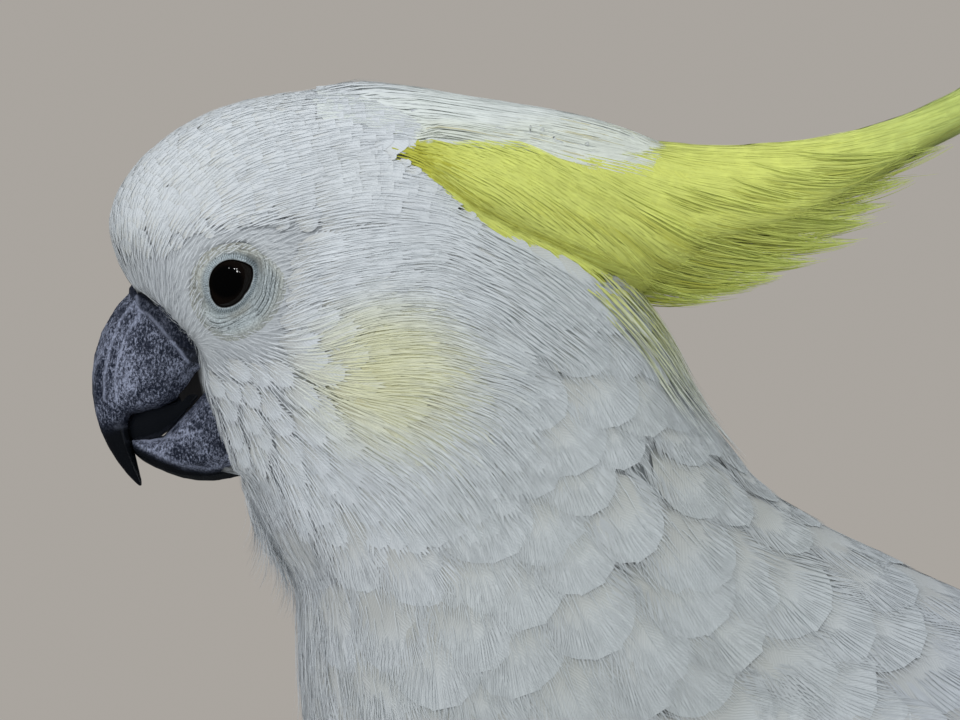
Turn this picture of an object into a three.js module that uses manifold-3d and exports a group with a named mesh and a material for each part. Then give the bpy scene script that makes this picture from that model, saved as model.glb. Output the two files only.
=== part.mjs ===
// A sulphur-crested cockatoo, life size, standing on the floor with its crest laid back.
// Millimetres, +Z up. The bird faces -Y and is the same on both sides of x = 0.
// Every place is first given from the middle of the eyes, as [back, up], and the whole
// bird is moved at the end so that the origin is under the middle of its bounding box.
import * as THREE from "three";
import { mergeVertices } from "three/addons/utils/BufferGeometryUtils.js";
import Module from "manifold-3d";

const wasm = await Module();
wasm.setup();

// ---------------------------------------------------------------- driving dimensions
const GAP = 0.3; // left between two pieces that meet
const EYE_HEIGHT = 245; // eye above the floor
const EYE_RADIUS = 7.2;
const EYE_SIDE = 17.9; // eyeball centre from the middle plane
const BODY_SEGMENTS = 22; // points round a section of the body
const SMALL_SEGMENTS = 12; // points round a section of a bill or crest piece
const SMOOTHING = 0.1; // a cut piece's points may move this far to drop slivers
const FLOOR = -EYE_HEIGHT;

// ---------------------------------------------------------------- materials
function finish(color, roughness, metalness = 0) {
  return new THREE.MeshStandardMaterial({ color, roughness, metalness });
}
const WHITE_PLUMAGE = finish(0xe4e8ec, 0.85);
const YELLOW_PLUMAGE = finish(0xd9de58, 0.8);
const BILL_HORN = finish(0x4a5260, 0.55);
const CERE_SKIN = finish(0x4c4f55, 0.75);
const TONGUE_SKIN = finish(0x141416, 0.5);
const EYE_GLOSS = finish(0x0b0808, 0.06);
const LEG_SKIN = finish(0x4f4f52, 0.8);
const CLAW_HORN = finish(0x26262a, 0.5);

// ---------------------------------------------------------------- solids
// A closed THREE geometry as a manifold-3d solid, and a solid as a geometry again.
function solidOf(geometry) {
  const bare = geometry.clone();
  bare.deleteAttribute("normal");
  bare.deleteAttribute("uv");
  const merged = mergeVertices(bare, 1e-4);
  return new wasm.Manifold(
    new wasm.Mesh({
      numProp: 3,
      vertProperties: merged.attributes.position.array,
      triVerts: new Uint32Array(merged.index.array),
    }),
  );
}

function geometryOf(solid) {
  const made = solid.getMesh();
  return new THREE.BufferGeometry()
    .setAttribute("position", new THREE.BufferAttribute(made.vertProperties, 3))
    .setIndex(new THREE.BufferAttribute(made.triVerts, 1));
}

// Turns every face of a geometry over.
function flip(geometry) {
  const index = geometry.index.array;
  for (let i = 0; i < index.length; i += 3)
    [index[i + 1], index[i + 2]] = [index[i + 2], index[i + 1]];
  return geometry;
}

// The largest body of a solid, without the slivers a cut can leave on and beside it.
function largest(solid) {
  const bodies = solid.decompose();
  return bodies.reduce((a, b) => (b.volume() > a.volume() ? b : a)).simplify(SMOOTHING);
}

// A skin over rings of points, closed by a fan to the middle of the first and last ring.
function loft(rings) {
  const count = rings[0].length;
  const points = rings.flat();
  const index = [];
  rings.slice(1).forEach((ring, i) => {
    ring.forEach((point, j) => {
      const next = (j + 1) % count;
      const a = i * count + j;
      const b = i * count + next;
      index.push(a, b, b + count, a, b + count, a + count);
    });
  });
  [0, rings.length - 1].forEach((end) => {
    const middle = new THREE.Vector3();
    rings[end].forEach((point) => middle.addScaledVector(point, 1 / count));
    points.push(middle);
    for (let j = 0; j < count; j++) {
      const a = end * count + j;
      const b = end * count + ((j + 1) % count);
      if (end === 0) index.push(b, a, points.length - 1);
      else index.push(a, b, points.length - 1);
    }
  });
  const geometry = new THREE.BufferGeometry().setFromPoints(points).setIndex(index);
  const solid = solidOf(geometry);
  return solid.volume() > 0 ? solid : solidOf(flip(geometry));
}

// The mirror image of a solid, on the bird's other side.
function mirrored(solid) {
  return solidOf(flip(geometryOf(solid).scale(-1, 1, 1)));
}

// ---------------------------------------------------------------- ribs
// A rib is a section between a top and a bottom point of the side outline:
// [top back, top up, bottom back, bottom up, half width, waist, roof, keel].
// waist is how far down the rib it is widest; roof and keel say how full it is above and
// below that (2 is an ellipse, less is a ridge, more is a box).
class Ribs {
  constructor(rows) {
    const curve = (a, b, c) =>
      new THREE.CatmullRomCurve3(
        rows.map((row) => new THREE.Vector3(row[a], row[b], row[c])),
        false,
        "catmullrom",
      );
    this.last = rows.length - 1;
    this.topAndWidth = curve(0, 1, 4);
    this.bottomAndWaist = curve(2, 3, 5);
    this.fullness = curve(6, 7, 7);
  }

  // The section at a place along the ribs, grown outwards by grow, with its x moved by side.
  section(place, segments, grow = 0, side = 0) {
    const t = THREE.MathUtils.clamp(place / this.last, 0, 1);
    const upper = this.topAndWidth.getPoint(t);
    const lower = this.bottomAndWaist.getPoint(t);
    const full = this.fullness.getPoint(t);
    const top = new THREE.Vector3(0, upper.x, upper.y);
    const bottom = new THREE.Vector3(0, lower.x, lower.y);
    const outward = top.clone().sub(bottom).normalize().multiplyScalar(grow);
    top.add(outward);
    bottom.sub(outward);
    const waist = top.clone().lerp(bottom, lower.z);
    const halfWidth = Math.max(upper.z + grow, 0.05);
    const ring = [];
    for (let j = 0; j < segments; j++) {
      const angle = (2 * Math.PI * j) / segments;
      const power = 2 / (Math.cos(angle) >= 0 ? full.x : full.y);
      const far = Math.cos(angle) >= 0 ? top : bottom;
      const point = waist.clone().lerp(far, Math.abs(Math.cos(angle)) ** power);
      const across = Math.abs(Math.sin(angle)) ** power * Math.sign(Math.sin(angle));
      point.x = side + halfWidth * across;
      ring.push(point);
    }
    return ring;
  }

  // A solid from one place along the ribs to another, in even steps.
  solid(from, to, steps, segments, grow = 0, side = 0) {
    const rings = [];
    for (let i = 0; i <= steps; i++)
      rings.push(this.section(from + ((to - from) * i) / steps, segments, grow, side));
    return loft(rings);
  }
}

// ---------------------------------------------------------------- head, neck and trunk
// One run of ribs from the bulging forehead, down the thick neck, to the tail coverts.
// The top points follow the crown, the nape under the crest, the mantle and the rump; the
// bottom points follow the edge of the face at the bill, the chin, the breast and the vent.
const BODY = new Ribs([
  [-26.6, 8.5, -24.2, 2.5, 3.2, 0.5, 2, 2],
  [-27.6, 14, -19.4, -4.6, 10, 0.5, 2.1, 2.2],
  [-25.8, 20.2, -9.6, -16.3, 15, 0.5, 2.3, 2.6],
  [-21.2, 27.2, -3.8, -27.6, 18.8, 0.52, 2.4, 2.8],
  [-13, 34.4, 0.4, -41.4, 21.6, 0.54, 2.3, 2.6],
  [-2.5, 39.9, 3.4, -51.2, 24, 0.55, 2.2, 2.3],
  [10.5, 43, 6.9, -60, 27.4, 0.55, 2.1, 2.2],
  [26, 44.2, 11.6, -68.5, 30.6, 0.55, 2.05, 2.1],
  [42, 41.2, 13.2, -77.5, 32.8, 0.54, 2, 2],
  [60, 33, 13.4, -87, 34.4, 0.53, 2, 2],
  [77, 19.5, 14.6, -97.5, 36.6, 0.52, 2, 2],
  [90, 3, 17.6, -109.5, 39.6, 0.5, 2, 2.05],
  [98.5, -11.5, 22.5, -122.5, 42.6, 0.5, 2.05, 2.1],
  [103.4, -22.5, 30, -136, 45.2, 0.5, 2.1, 2.1],
  [109.4, -32, 40, -149, 47.2, 0.5, 2.15, 2.15],
  [117.6, -43, 54, -161, 48.4, 0.5, 2.2, 2.2],
  [128.4, -50.8, 73, -172, 48.2, 0.5, 2.2, 2.2],
  [144, -58.8, 96, -180, 47, 0.5, 2.2, 2.2],
  [165, -68.8, 121, -184, 44.6, 0.48, 2.2, 2.2],
  [189, -81.5, 150, -184, 41, 0.46, 2.2, 2.1],
  [213, -96, 180, -180.5, 36, 0.44, 2.2, 2.05],
  [236, -111.5, 208, -175, 30, 0.42, 2.2, 2],
  [258, -126.5, 234, -171, 24, 0.42, 2.2, 2],
  [278, -140, 258, -170, 18, 0.42, 2.2, 2],
  [292, -150, 277, -168, 10, 0.45, 2.1, 2],
]);
const HEAD_END = 9.55; // places along the ribs where the head, neck and trunk part
const NECK_END = 13.5;
const CUT = 0.035; // along the ribs, about GAP wide

const headWhole = BODY.solid(0, HEAD_END, 12, BODY_SEGMENTS);
const headGrown = BODY.solid(0, HEAD_END, 12, BODY_SEGMENTS, GAP);
const neck = BODY.solid(HEAD_END + CUT, NECK_END, 6, BODY_SEGMENTS);
const neckGrown = BODY.solid(HEAD_END + CUT, NECK_END, 6, BODY_SEGMENTS, GAP);
const trunkWhole = BODY.solid(NECK_END + CUT, 24, 14, BODY_SEGMENTS);
const trunkGrown = BODY.solid(NECK_END + CUT, 24, 14, BODY_SEGMENTS, GAP);
const bodyGrown = headGrown.add(neckGrown).add(trunkGrown);

// ---------------------------------------------------------------- bill
// Upper half: a deep hook, its ribs turning from the forehead round to the point.
const UPPER_BILL = new Ribs([
  [-16, 2.4, 2.6, -17, 10.4, 0.62, 2, 2.6],
  [-22, -1, -5, -18.8, 10.8, 0.6, 2, 2.6],
  [-27.2, -7.2, -7.6, -21.8, 10.7, 0.6, 2, 2.6],
  [-30.2, -13.8, -10.1, -25.6, 10.2, 0.6, 2, 2.5],
  [-31.2, -19.8, -14, -28.1, 9.4, 0.58, 2, 2.4],
  [-31.2, -24.6, -18.6, -29.1, 8.2, 0.56, 2, 2.3],
  [-30.4, -29.6, -22.4, -29.8, 6.8, 0.55, 2, 2.2],
  [-28.9, -34.2, -22.6, -33.4, 5.2, 0.55, 2, 2.2],
  [-26.7, -38.4, -21.7, -37.3, 3.8, 0.55, 2, 2],
  [-24, -42.2, -20.9, -40.8, 2.4, 0.5, 2, 2],
  [-21.5, -44.9, -20.1, -43.9, 1.1, 0.5, 2, 2],
  [-20.3, -45.9, -19.9, -45.5, 0.5, 0.5, 2, 2],
]);
const upperBill = UPPER_BILL.solid(0, 11, 13, SMALL_SEGMENTS);
const upperBillGrown = UPPER_BILL.solid(0, 11, 13, SMALL_SEGMENTS, GAP);

// Lower half: a short scoop whose front edge meets the inside of the hook.
const LOWER_BILL = new Ribs([
  [-1, -21, 9, -41.5, 11.4, 0.4, 2.6, 2.2],
  [-4.9, -22.9, 2, -43.4, 11.8, 0.4, 2.6, 2.2],
  [-8.1, -26.5, -3.6, -44.5, 11.2, 0.4, 2.6, 2.2],
  [-11.5, -30.4, -9.2, -44.2, 10.2, 0.42, 2.6, 2.2],
  [-15.1, -34.5, -14.2, -42.7, 8.5, 0.42, 2.6, 2.2],
  [-18.6, -35, -17.8, -40.8, 6.4, 0.45, 2.4, 2.1],
  [-20.8, -34.8, -20.2, -38.4, 4.2, 0.5, 2.2, 2],
]);
const lowerBill = largest(LOWER_BILL.solid(0, 6, 9, SMALL_SEGMENTS).subtract(upperBillGrown));
const lowerBillGrown = LOWER_BILL.solid(0, 6, 9, SMALL_SEGMENTS, GAP);

// Cere: a band of bare skin round the root of the upper bill.
const CERE = new Ribs([
  [-14.5, 4.6, 3.6, -15.4, 11.8, 0.6, 2, 2.6],
  [-21.4, 0.7, -4.2, -17.2, 12.3, 0.6, 2, 2.6],
  [-23.4, -2, -9, -18.6, 11.5, 0.6, 2, 2.6],
]);
const cere = largest(CERE.solid(0, 2, 4, SMALL_SEGMENTS).subtract(upperBillGrown));
const cereGrown = CERE.solid(0, 2, 4, SMALL_SEGMENTS, GAP);

// Tongue: a thick pad that fills the gap of the parted bill.
const TONGUE = new Ribs([
  [-3.5, -20.5, -1.5, -27.5, 4, 0.5, 2.4, 2.4],
  [-8, -21.5, -6, -30.5, 6.6, 0.5, 2.4, 2.4],
  [-13, -25.5, -12.4, -34.5, 6.2, 0.5, 2.4, 2.4],
  [-17.6, -28, -17.4, -35.5, 5, 0.5, 2.2, 2.2],
  [-20, -30.4, -20, -33.6, 2.6, 0.5, 2, 2],
]);
const tongue = largest(
  TONGUE.solid(0, 4, 6, SMALL_SEGMENTS)
    .subtract(upperBillGrown)
    .subtract(lowerBillGrown)
    .subtract(cereGrown)
    .subtract(headGrown),
);

// ---------------------------------------------------------------- eyes
function ball(radius, side) {
  const geometry = new THREE.SphereGeometry(radius, 12, 8).rotateZ(Math.PI / 2);
  return solidOf(geometry.translate(side, 0, 0));
}
const eyes = { left: ball(EYE_RADIUS, EYE_SIDE), right: ball(EYE_RADIUS, -EYE_SIDE) };

const head = largest(
  headWhole
    .subtract(ball(EYE_RADIUS + GAP, EYE_SIDE))
    .subtract(ball(EYE_RADIUS + GAP, -EYE_SIDE))
    .subtract(upperBillGrown)
    .subtract(lowerBillGrown)
    .subtract(cereGrown),
);

// ---------------------------------------------------------------- crest
// The cap of long white forehead plumes, and under it the yellow plumes, whose ends curve
// up behind the head and whose loose webs hang below the shafts.
const CREST_CAP = new Ribs([
  [19, 44.4, 19.4, 39, 3, 0.6, 2, 2],
  [30, 44.7, 30.4, 35, 9.5, 0.7, 1.9, 2.4],
  [44, 43.6, 44, 29.8, 12.5, 0.8, 1.9, 2.6],
  [62, 41, 61, 28.4, 12, 0.85, 1.9, 2.6],
  [78, 38.2, 76, 28.2, 9.8, 0.85, 1.9, 2.6],
  [88, 35.2, 87, 29, 6.6, 0.8, 2, 2.4],
  [94.6, 32.9, 94, 31.4, 2.2, 0.6, 2, 2],
]);
const CREST_PLUMES = new Ribs([
  [34, 36, 34, 29, 12, 0.6, 2, 2],
  [48, 38, 50, 18, 22, 0.7, 1.9, 2],
  [64, 38.5, 66, 8, 22, 0.7, 1.9, 2],
  [82, 36, 82, 0, 16.5, 0.68, 1.8, 1.9],
  [96, 32.6, 97, 0.6, 10.5, 0.65, 1.7, 1.8],
  [112, 31.8, 111, 3.2, 8.6, 0.6, 1.7, 1.8],
  [129, 33, 127, 9, 7.4, 0.6, 1.7, 1.8],
  [146, 36.6, 144, 18, 6.2, 0.55, 1.8, 1.8],
  [162, 43.5, 161, 30.5, 5, 0.5, 1.9, 1.9],
  [176, 53, 177, 43, 3.8, 0.5, 2, 2],
  [187, 63.5, 189, 57, 2.2, 0.5, 2, 2],
  [192.5, 70.5, 193.5, 69, 0.7, 0.5, 2, 2],
]);
const crestCap = largest(CREST_CAP.solid(0, 6, 10, SMALL_SEGMENTS).subtract(bodyGrown));
const crestPlumes = largest(
  CREST_PLUMES.solid(0, 11, 15, SMALL_SEGMENTS)
    .subtract(CREST_CAP.solid(0, 6, 10, SMALL_SEGMENTS, GAP))
    .subtract(bodyGrown),
);

// ---------------------------------------------------------------- wings
// A folded wing is a curved plate from the bend of the wing to the longest primary:
// [back, top side, top up, bottom side, bottom up, bulge, thickness].
const WING = [
  [71, 42, -112, 46, -124, 3, 5],
  [79, 38, -94, 47, -143, 10, 9],
  [92, 31, -81, 47, -156, 16, 11],
  [113, 25, -72, 46, -165, 20, 12],
  [140, 20, -71, 44, -172, 23, 13],
  [172, 17, -82, 41, -177, 24, 13],
  [206, 14, -98, 36, -181, 22.5, 12],
  [240, 11.5, -116, 30, -186, 18, 11],
  [274, 9.5, -134, 23, -191, 13, 9],
  [308, 8, -153, 17, -196, 9, 6.5],
  [342, 6.5, -172, 12.5, -201, 6, 4.5],
  [370, 5.5, -189, 9, -205, 3.5, 3],
  [386, 5, -200, 7, -208, 1.5, 2],
];
const WING_ARC = 7; // points along the outer, and along the inner, side of a section
const COVERTS_END = [205, -112]; // on the line where the coverts give way to the quills
const COVERTS_LEAN = 29; // degrees that line leans from upright

function wingSection(place) {
  const i = Math.min(Math.floor(place), WING.length - 2);
  const row = WING[i].map((value, k) => {
    const before = WING[Math.max(i - 1, 0)][k];
    const after = WING[Math.min(i + 2, WING.length - 1)][k];
    const t = place - i;
    const next = WING[i + 1][k];
    const rise = (next - before) / 2;
    const fall = (after - value) / 2;
    return (
      value * (2 * t ** 3 - 3 * t ** 2 + 1) +
      rise * (t ** 3 - 2 * t ** 2 + t) +
      next * (3 * t ** 2 - 2 * t ** 3) +
      fall * (t ** 3 - t ** 2)
    );
  });
  const [back, topSide, topUp, bottomSide, bottomUp, bulge, thickness] = row;
  // outer arc from the top edge to the bottom edge, then the inner arc back
  const arc = (inset) => {
    const points = [];
    for (let j = 0; j < WING_ARC; j++) {
      const t = j / (WING_ARC - 1);
      const full = Math.sin(Math.PI * t) ** 0.8;
      const side = THREE.MathUtils.lerp(topSide, bottomSide, t) + bulge * full;
      const up = THREE.MathUtils.lerp(topUp, bottomUp, t);
      points.push(new THREE.Vector3(side - inset * (0.35 + 0.65 * full), back, up));
    }
    return points;
  };
  return [...arc(thickness).reverse(), ...arc(0)];
}

function wingSolid(from, to, steps) {
  const rings = [];
  for (let i = 0; i <= steps; i++) rings.push(wingSection(from + ((to - from) * i) / steps));
  return loft(rings);
}

// ---------------------------------------------------------------- tail
// Twelve quills laid as one fan, a little arched: ribs run from its root to its square end.
const TAIL = new Ribs([
  [238, -132, 234, -150, 17, 0.5, 2.2, 2.2],
  [262, -144, 258, -158, 18, 0.5, 2.2, 2.2],
  [296, -161, 294, -170, 20, 0.55, 2, 3],
  [340, -183, 338.5, -189, 23, 0.6, 1.9, 3],
  [384, -203.5, 383, -208, 26, 0.65, 1.9, 3],
  [420, -219.5, 419, -223, 27.5, 0.7, 1.9, 3],
  [436, -226.5, 435.2, -229.2, 25, 0.7, 1.9, 3],
  [441, -228.8, 440.6, -230.2, 19, 0.7, 1.9, 3],
]);
const tail = TAIL.solid(0, 7, 10, SMALL_SEGMENTS);
const tailGrown = TAIL.solid(0, 7, 10, SMALL_SEGMENTS, GAP);

const wingWhole = wingSolid(0, 12, 16);
const wingShown = wingWhole.subtract(bodyGrown).subtract(tailGrown);
const lean = THREE.MathUtils.degToRad(COVERTS_LEAN);
const slant = new THREE.Vector3(0, Math.cos(lean), Math.sin(lean));
const covertsEnd = slant.dot(new THREE.Vector3(0, ...COVERTS_END));
const coverts = largest(wingShown.trimByPlane(slant.clone().negate().toArray(), -covertsEnd));
const quills = largest(wingShown.trimByPlane(slant.toArray(), covertsEnd + GAP));

// ---------------------------------------------------------------- legs
// Thigh: the feathered leg, from inside the belly down to the ankle.
const LEG_SIDE = 23; // foot and ankle from the middle plane
const ANKLE = [136, -211];
const FOOT = [120, FLOOR + 8.5];
const THIGH = new Ribs([
  [148, -148, 98, -164, 19, 0.5, 2, 2],
  [153, -170, 103, -180, 18, 0.5, 2, 2],
  [151, -190, 112, -196, 14.5, 0.5, 2, 2],
  [147, -204, 121, -207, 10.5, 0.5, 2, 2],
  [143, -212.5, 128.5, -212.5, 6.6, 0.5, 2, 2],
]);
const thigh = largest(
  THIGH.solid(0, 4, 6, 14, 0, LEG_SIDE).subtract(trunkGrown).subtract(wingWhole),
);

// A round piece along a path of [side, back, up, half width, half height], with every
// point kept at or above the floor, which gives the pads their flats.
function limb(rows, steps, segments, grow = 0) {
  const path = new THREE.CatmullRomCurve3(
    rows.map((r) => new THREE.Vector3(r[0], r[1], r[2])),
    false,
    "catmullrom",
  );
  const size = new THREE.CatmullRomCurve3(
    rows.map((r) => new THREE.Vector3(r[3], r[4], 0)),
    false,
    "catmullrom",
  );
  const rings = [];
  for (let i = 0; i <= steps; i++) {
    const t = i / steps;
    const along = path.getTangent(t);
    const middle = path.getPoint(t);
    if (i === 0) middle.addScaledVector(along, -grow);
    if (i === steps) middle.addScaledVector(along, grow);
    const across = new THREE.Vector3(0, 0, 1).cross(along);
    if (across.length() < 0.2) across.set(1, 0, 0);
    across.normalize();
    const over = along.clone().cross(across).normalize();
    const half = size.getPoint(t);
    const ring = [];
    for (let j = 0; j < segments; j++) {
      const angle = (2 * Math.PI * (j + 0.5)) / segments;
      const point = middle
        .clone()
        .addScaledVector(across, (half.x + grow) * Math.cos(angle))
        .addScaledVector(over, (half.y + grow) * Math.sin(angle));
      point.z = Math.max(point.z, FLOOR);
      ring.push(point);
    }
    rings.push(ring);
  }
  return loft(rings);
}

// Shank: the bare scaly leg from the ankle to the middle of the foot, with the sole pad.
const SHANK_ROWS = [
  [LEG_SIDE, ANKLE[0] + 0.6, ANKLE[1] - 1.4, 5.6, 5.6],
  [LEG_SIDE, ANKLE[0] - 5, ANKLE[1] - 9, 4.4, 4.6],
  [LEG_SIDE, FOOT[0] + 5, FOOT[1] + 9, 4.4, 4.6],
  [LEG_SIDE, FOOT[0], FOOT[1] - 0.5, 6.4, 6.2],
  [LEG_SIDE, FOOT[0] - 1.5, FLOOR, 7, 5.4],
];
const shank = largest(limb(SHANK_ROWS, 8, 8).subtract(THIGH.solid(0, 4, 6, 14, GAP, LEG_SIDE)));
const shankGrown = limb(SHANK_ROWS, 8, 8, GAP);

// Toes: two point forwards and two back, as on every parrot: [name, heading from straight
// ahead, length, root half width]. Each has a claw that curves down just clear of the floor.
const TOES = [
  ["toe_2", 24, 30, 4.1],
  ["toe_3", -14, 40, 4.3],
  ["toe_4", -152, 34, 4.1],
  ["toe_1", 150, 22, 3.8],
];
const TOE_START = 4.6; // from the middle of the foot
const PAD_UP = 3.3; // middle of a toe above the floor
const CLAW_LENGTH = 13;

function toePoint(heading, out, up) {
  const turn = THREE.MathUtils.degToRad(heading);
  return [LEG_SIDE - out * Math.sin(turn), FOOT[0] - 1.5 - out * Math.cos(turn), FLOOR + up];
}

function toeAndClaw([, heading, length, width], taken) {
  const swell = [
    [TOE_START, PAD_UP + 0.9, width, 4.6],
    [TOE_START + length * 0.3, PAD_UP + 0.2, width * 0.86, 4],
    [TOE_START + length * 0.5, PAD_UP + 0.6, width * 0.92, 4.2],
    [TOE_START + length * 0.75, PAD_UP, width * 0.76, 3.7],
    [TOE_START + length, PAD_UP + 0.3, width * 0.72, 3.7],
  ];
  const rows = swell.map(([out, up, wide, high]) => [...toePoint(heading, out, up), wide, high]);
  const tip = TOE_START + length;
  const clawRows = [];
  for (let i = 0; i <= 4; i++) {
    const t = i / 4;
    const out = tip - 2 + CLAW_LENGTH * Math.sin((Math.PI / 2) * t * 0.92);
    const up = PAD_UP + 1.9 + 1.6 * Math.sin(Math.PI * t) - 4.2 * t * t;
    const half = 2.3 * (1 - t) + 0.35;
    clawRows.push([...toePoint(heading, out, up), half, half * 1.25]);
  }
  const grown = limb(rows, 6, 8, GAP);
  const toe = largest(limb(rows, 6, 8).subtract(taken));
  const claw = largest(limb(clawRows, 5, 6).subtract(grown));
  return { toe, claw, grown };
}

const trunk = largest(trunkWhole.subtract(tailGrown));

// ---------------------------------------------------------------- the bird
const bird = new THREE.Group();

function add(name, solid, material) {
  const mesh = new THREE.Mesh(geometryOf(solid), material);
  mesh.name = name;
  bird.add(mesh);
}

function addPair(name, leftSolid, material) {
  add(`${name}_left`, leftSolid, material);
  add(`${name}_right`, mirrored(leftSolid), material);
}

add("head", head, WHITE_PLUMAGE);
add("neck", neck, WHITE_PLUMAGE);
add("trunk", trunk, WHITE_PLUMAGE);
add("tail", tail, WHITE_PLUMAGE);
add("bill_upper", upperBill, BILL_HORN);
add("bill_lower", lowerBill, BILL_HORN);
add("cere", cere, CERE_SKIN);
add("tongue", tongue, TONGUE_SKIN);
add("eye_left", eyes.left, EYE_GLOSS);
add("eye_right", eyes.right, EYE_GLOSS);
add("crest_cap", crestCap, WHITE_PLUMAGE);
add("crest_plumes", crestPlumes, YELLOW_PLUMAGE);
addPair("wing", coverts, WHITE_PLUMAGE);
addPair("wing_quills", quills, WHITE_PLUMAGE);
addPair("thigh", thigh, WHITE_PLUMAGE);
addPair("shank", shank, LEG_SKIN);
let footTaken = shankGrown; // what the foot's pieces so far take up
TOES.forEach((row) => {
  const { toe, claw, grown } = toeAndClaw(row, footTaken);
  footTaken = footTaken.add(grown);
  addPair(row[0], toe, LEG_SKIN);
  addPair(row[0].replace("toe", "claw"), claw, CLAW_HORN);
});

const box = new THREE.Box3().setFromObject(bird);
bird.position.set(0, -(box.min.y + box.max.y) / 2, -box.min.z);

export default bird;
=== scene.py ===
"""A sulphur-crested cockatoo, life size, standing on a pale studio floor."""
import math

import bpy
import numpy as np
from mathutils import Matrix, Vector
from mathutils.bvhtree import BVHTree


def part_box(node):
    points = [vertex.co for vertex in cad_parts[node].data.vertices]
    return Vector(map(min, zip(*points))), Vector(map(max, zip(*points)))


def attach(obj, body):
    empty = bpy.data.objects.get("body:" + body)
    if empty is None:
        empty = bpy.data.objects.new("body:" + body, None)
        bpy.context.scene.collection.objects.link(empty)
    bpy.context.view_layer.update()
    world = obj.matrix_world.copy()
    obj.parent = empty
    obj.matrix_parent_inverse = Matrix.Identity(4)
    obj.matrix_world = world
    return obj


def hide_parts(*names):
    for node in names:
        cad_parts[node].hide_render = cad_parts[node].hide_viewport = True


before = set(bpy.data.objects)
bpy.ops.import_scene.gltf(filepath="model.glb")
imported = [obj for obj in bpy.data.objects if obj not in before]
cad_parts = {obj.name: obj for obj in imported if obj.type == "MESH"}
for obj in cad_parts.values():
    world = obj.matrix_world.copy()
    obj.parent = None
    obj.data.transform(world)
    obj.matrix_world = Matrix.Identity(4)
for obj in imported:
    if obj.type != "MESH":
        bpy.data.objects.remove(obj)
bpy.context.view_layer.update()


# ---------------------------------------------------------------- skin
# The thin skin of head, neck, trunk, wings and thighs, one sheet with no seam. It lies under
# the feathers by the depth of the coat, and carries the same white and yellow as they do.
MM = 0.001
eye_box = np.array(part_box("eye_left"), float)
EYE = eye_box.mean(axis=0)  # middle of the left eyeball
SKIN_VOXEL = 1.8  # millimetres
HIDE_SWELL = 0.35 * MM  # closes the gaps between neighbouring nodes
CHIN_UP = -46  # the height of the chin, from the eye
MOUTH_HALF = 6 * MM  # half the width of the skin inside the mouth
SOCKET_GAP = 2.2 * MM  # how far behind the eyeball the skin lies
SOCKET_REACH = 8.6
EAR_MIDDLE = (33, -20)  # back and up from the eye
SKIN_NODES = ("head", "neck", "trunk", "wing_left", "wing_right", "thigh_left", "thigh_right")


def only(*pieces):
    """Selects these objects alone and makes the first one active."""
    bpy.ops.object.select_all(action="DESELECT")
    for piece in pieces:
        piece.select_set(True)
    bpy.context.view_layer.objects.active = pieces[0]


def finish_with(piece, kind, **settings):
    """Adds a modifier with these settings and applies it."""
    only(piece)
    modifier = piece.modifiers.new(kind.lower(), kind)
    for key, value in settings.items():
        setattr(modifier, key, value)
    bpy.ops.object.modifier_apply(modifier=modifier.name)


def placed(name, data):
    """A new object in the scene."""
    piece = bpy.data.objects.new(name, data)
    bpy.context.scene.collection.objects.link(piece)
    return piece


def copy_of(node, name):
    """A merged copy of a CAD node, with no material."""
    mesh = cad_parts[node].data.copy()
    mesh.name = name
    mesh.materials.clear()
    piece = placed(name, mesh)
    only(piece)
    bpy.ops.object.mode_set(mode="EDIT")
    bpy.ops.mesh.select_all(action="SELECT")
    bpy.ops.mesh.remove_doubles(threshold=0.02 * MM)
    bpy.ops.object.mode_set(mode="OBJECT")
    return piece


def merged(pieces, name):
    """Joins pieces into the first of them, under a new name."""
    only(*pieces)
    bpy.ops.object.join()
    pieces[0].name = name
    return pieces[0]


def rounded_off(piece, voxel, passes):
    """Gives a piece an even mesh, voxel millimetres fine, and smooths it."""
    finish_with(piece, "REMESH", mode="VOXEL", voxel_size=voxel * MM, use_smooth_shade=True)
    finish_with(piece, "SMOOTH", factor=0.5, iterations=passes)


def rows_of(items, key):
    """Three numbers for each item of a mesh, as rows."""
    flat = np.empty(len(items) * 3)
    items.foreach_get(key, flat)
    return flat.reshape(-1, 3)


def places(mesh):
    return rows_of(mesh.vertices, "co")


def vertex_normals(mesh):
    return rows_of(mesh.vertex_normals, "vector")


def put(mesh, rows):
    """Moves a mesh's vertices to new places."""
    mesh.vertices.foreach_set("co", np.ascontiguousarray(rows, dtype=np.float64).ravel())
    mesh.update()


def seen(points):
    """Distance from the middle plane, and back and up from the eye, in millimetres."""
    return abs(points[:, 0]) / MM, (points[:, 1] - EYE[1]) / MM, (points[:, 2] - EYE[2]) / MM


def blend_at(value, start, end):
    """0 before start, 1 after end, smooth between."""
    t = np.clip((value - start) / (end - start), 0, 1)
    return t * t * (3 - 2 * t)


def mixed(low, high, amount):
    """low where amount is 0, high where it is 1."""
    return low + (high - low) * amount


def coat_depth(points):
    """How deep the feathers are, in metres: thin on the face, deep on the breast."""
    out, back, up = seen(points)
    from_eye = np.hypot(back, up) + 60 * (out < 12)
    depth = mixed(1.1, 2.0, blend_at(back, -20, 20))
    depth = mixed(depth, 3.1, blend_at(back - 0.35 * up, 30, 75))
    depth = mixed(depth, 3.6, blend_at(-up, 75, 120))
    depth = mixed(0.5, depth, blend_at(from_eye, 8, 17))
    return depth * MM


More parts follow.
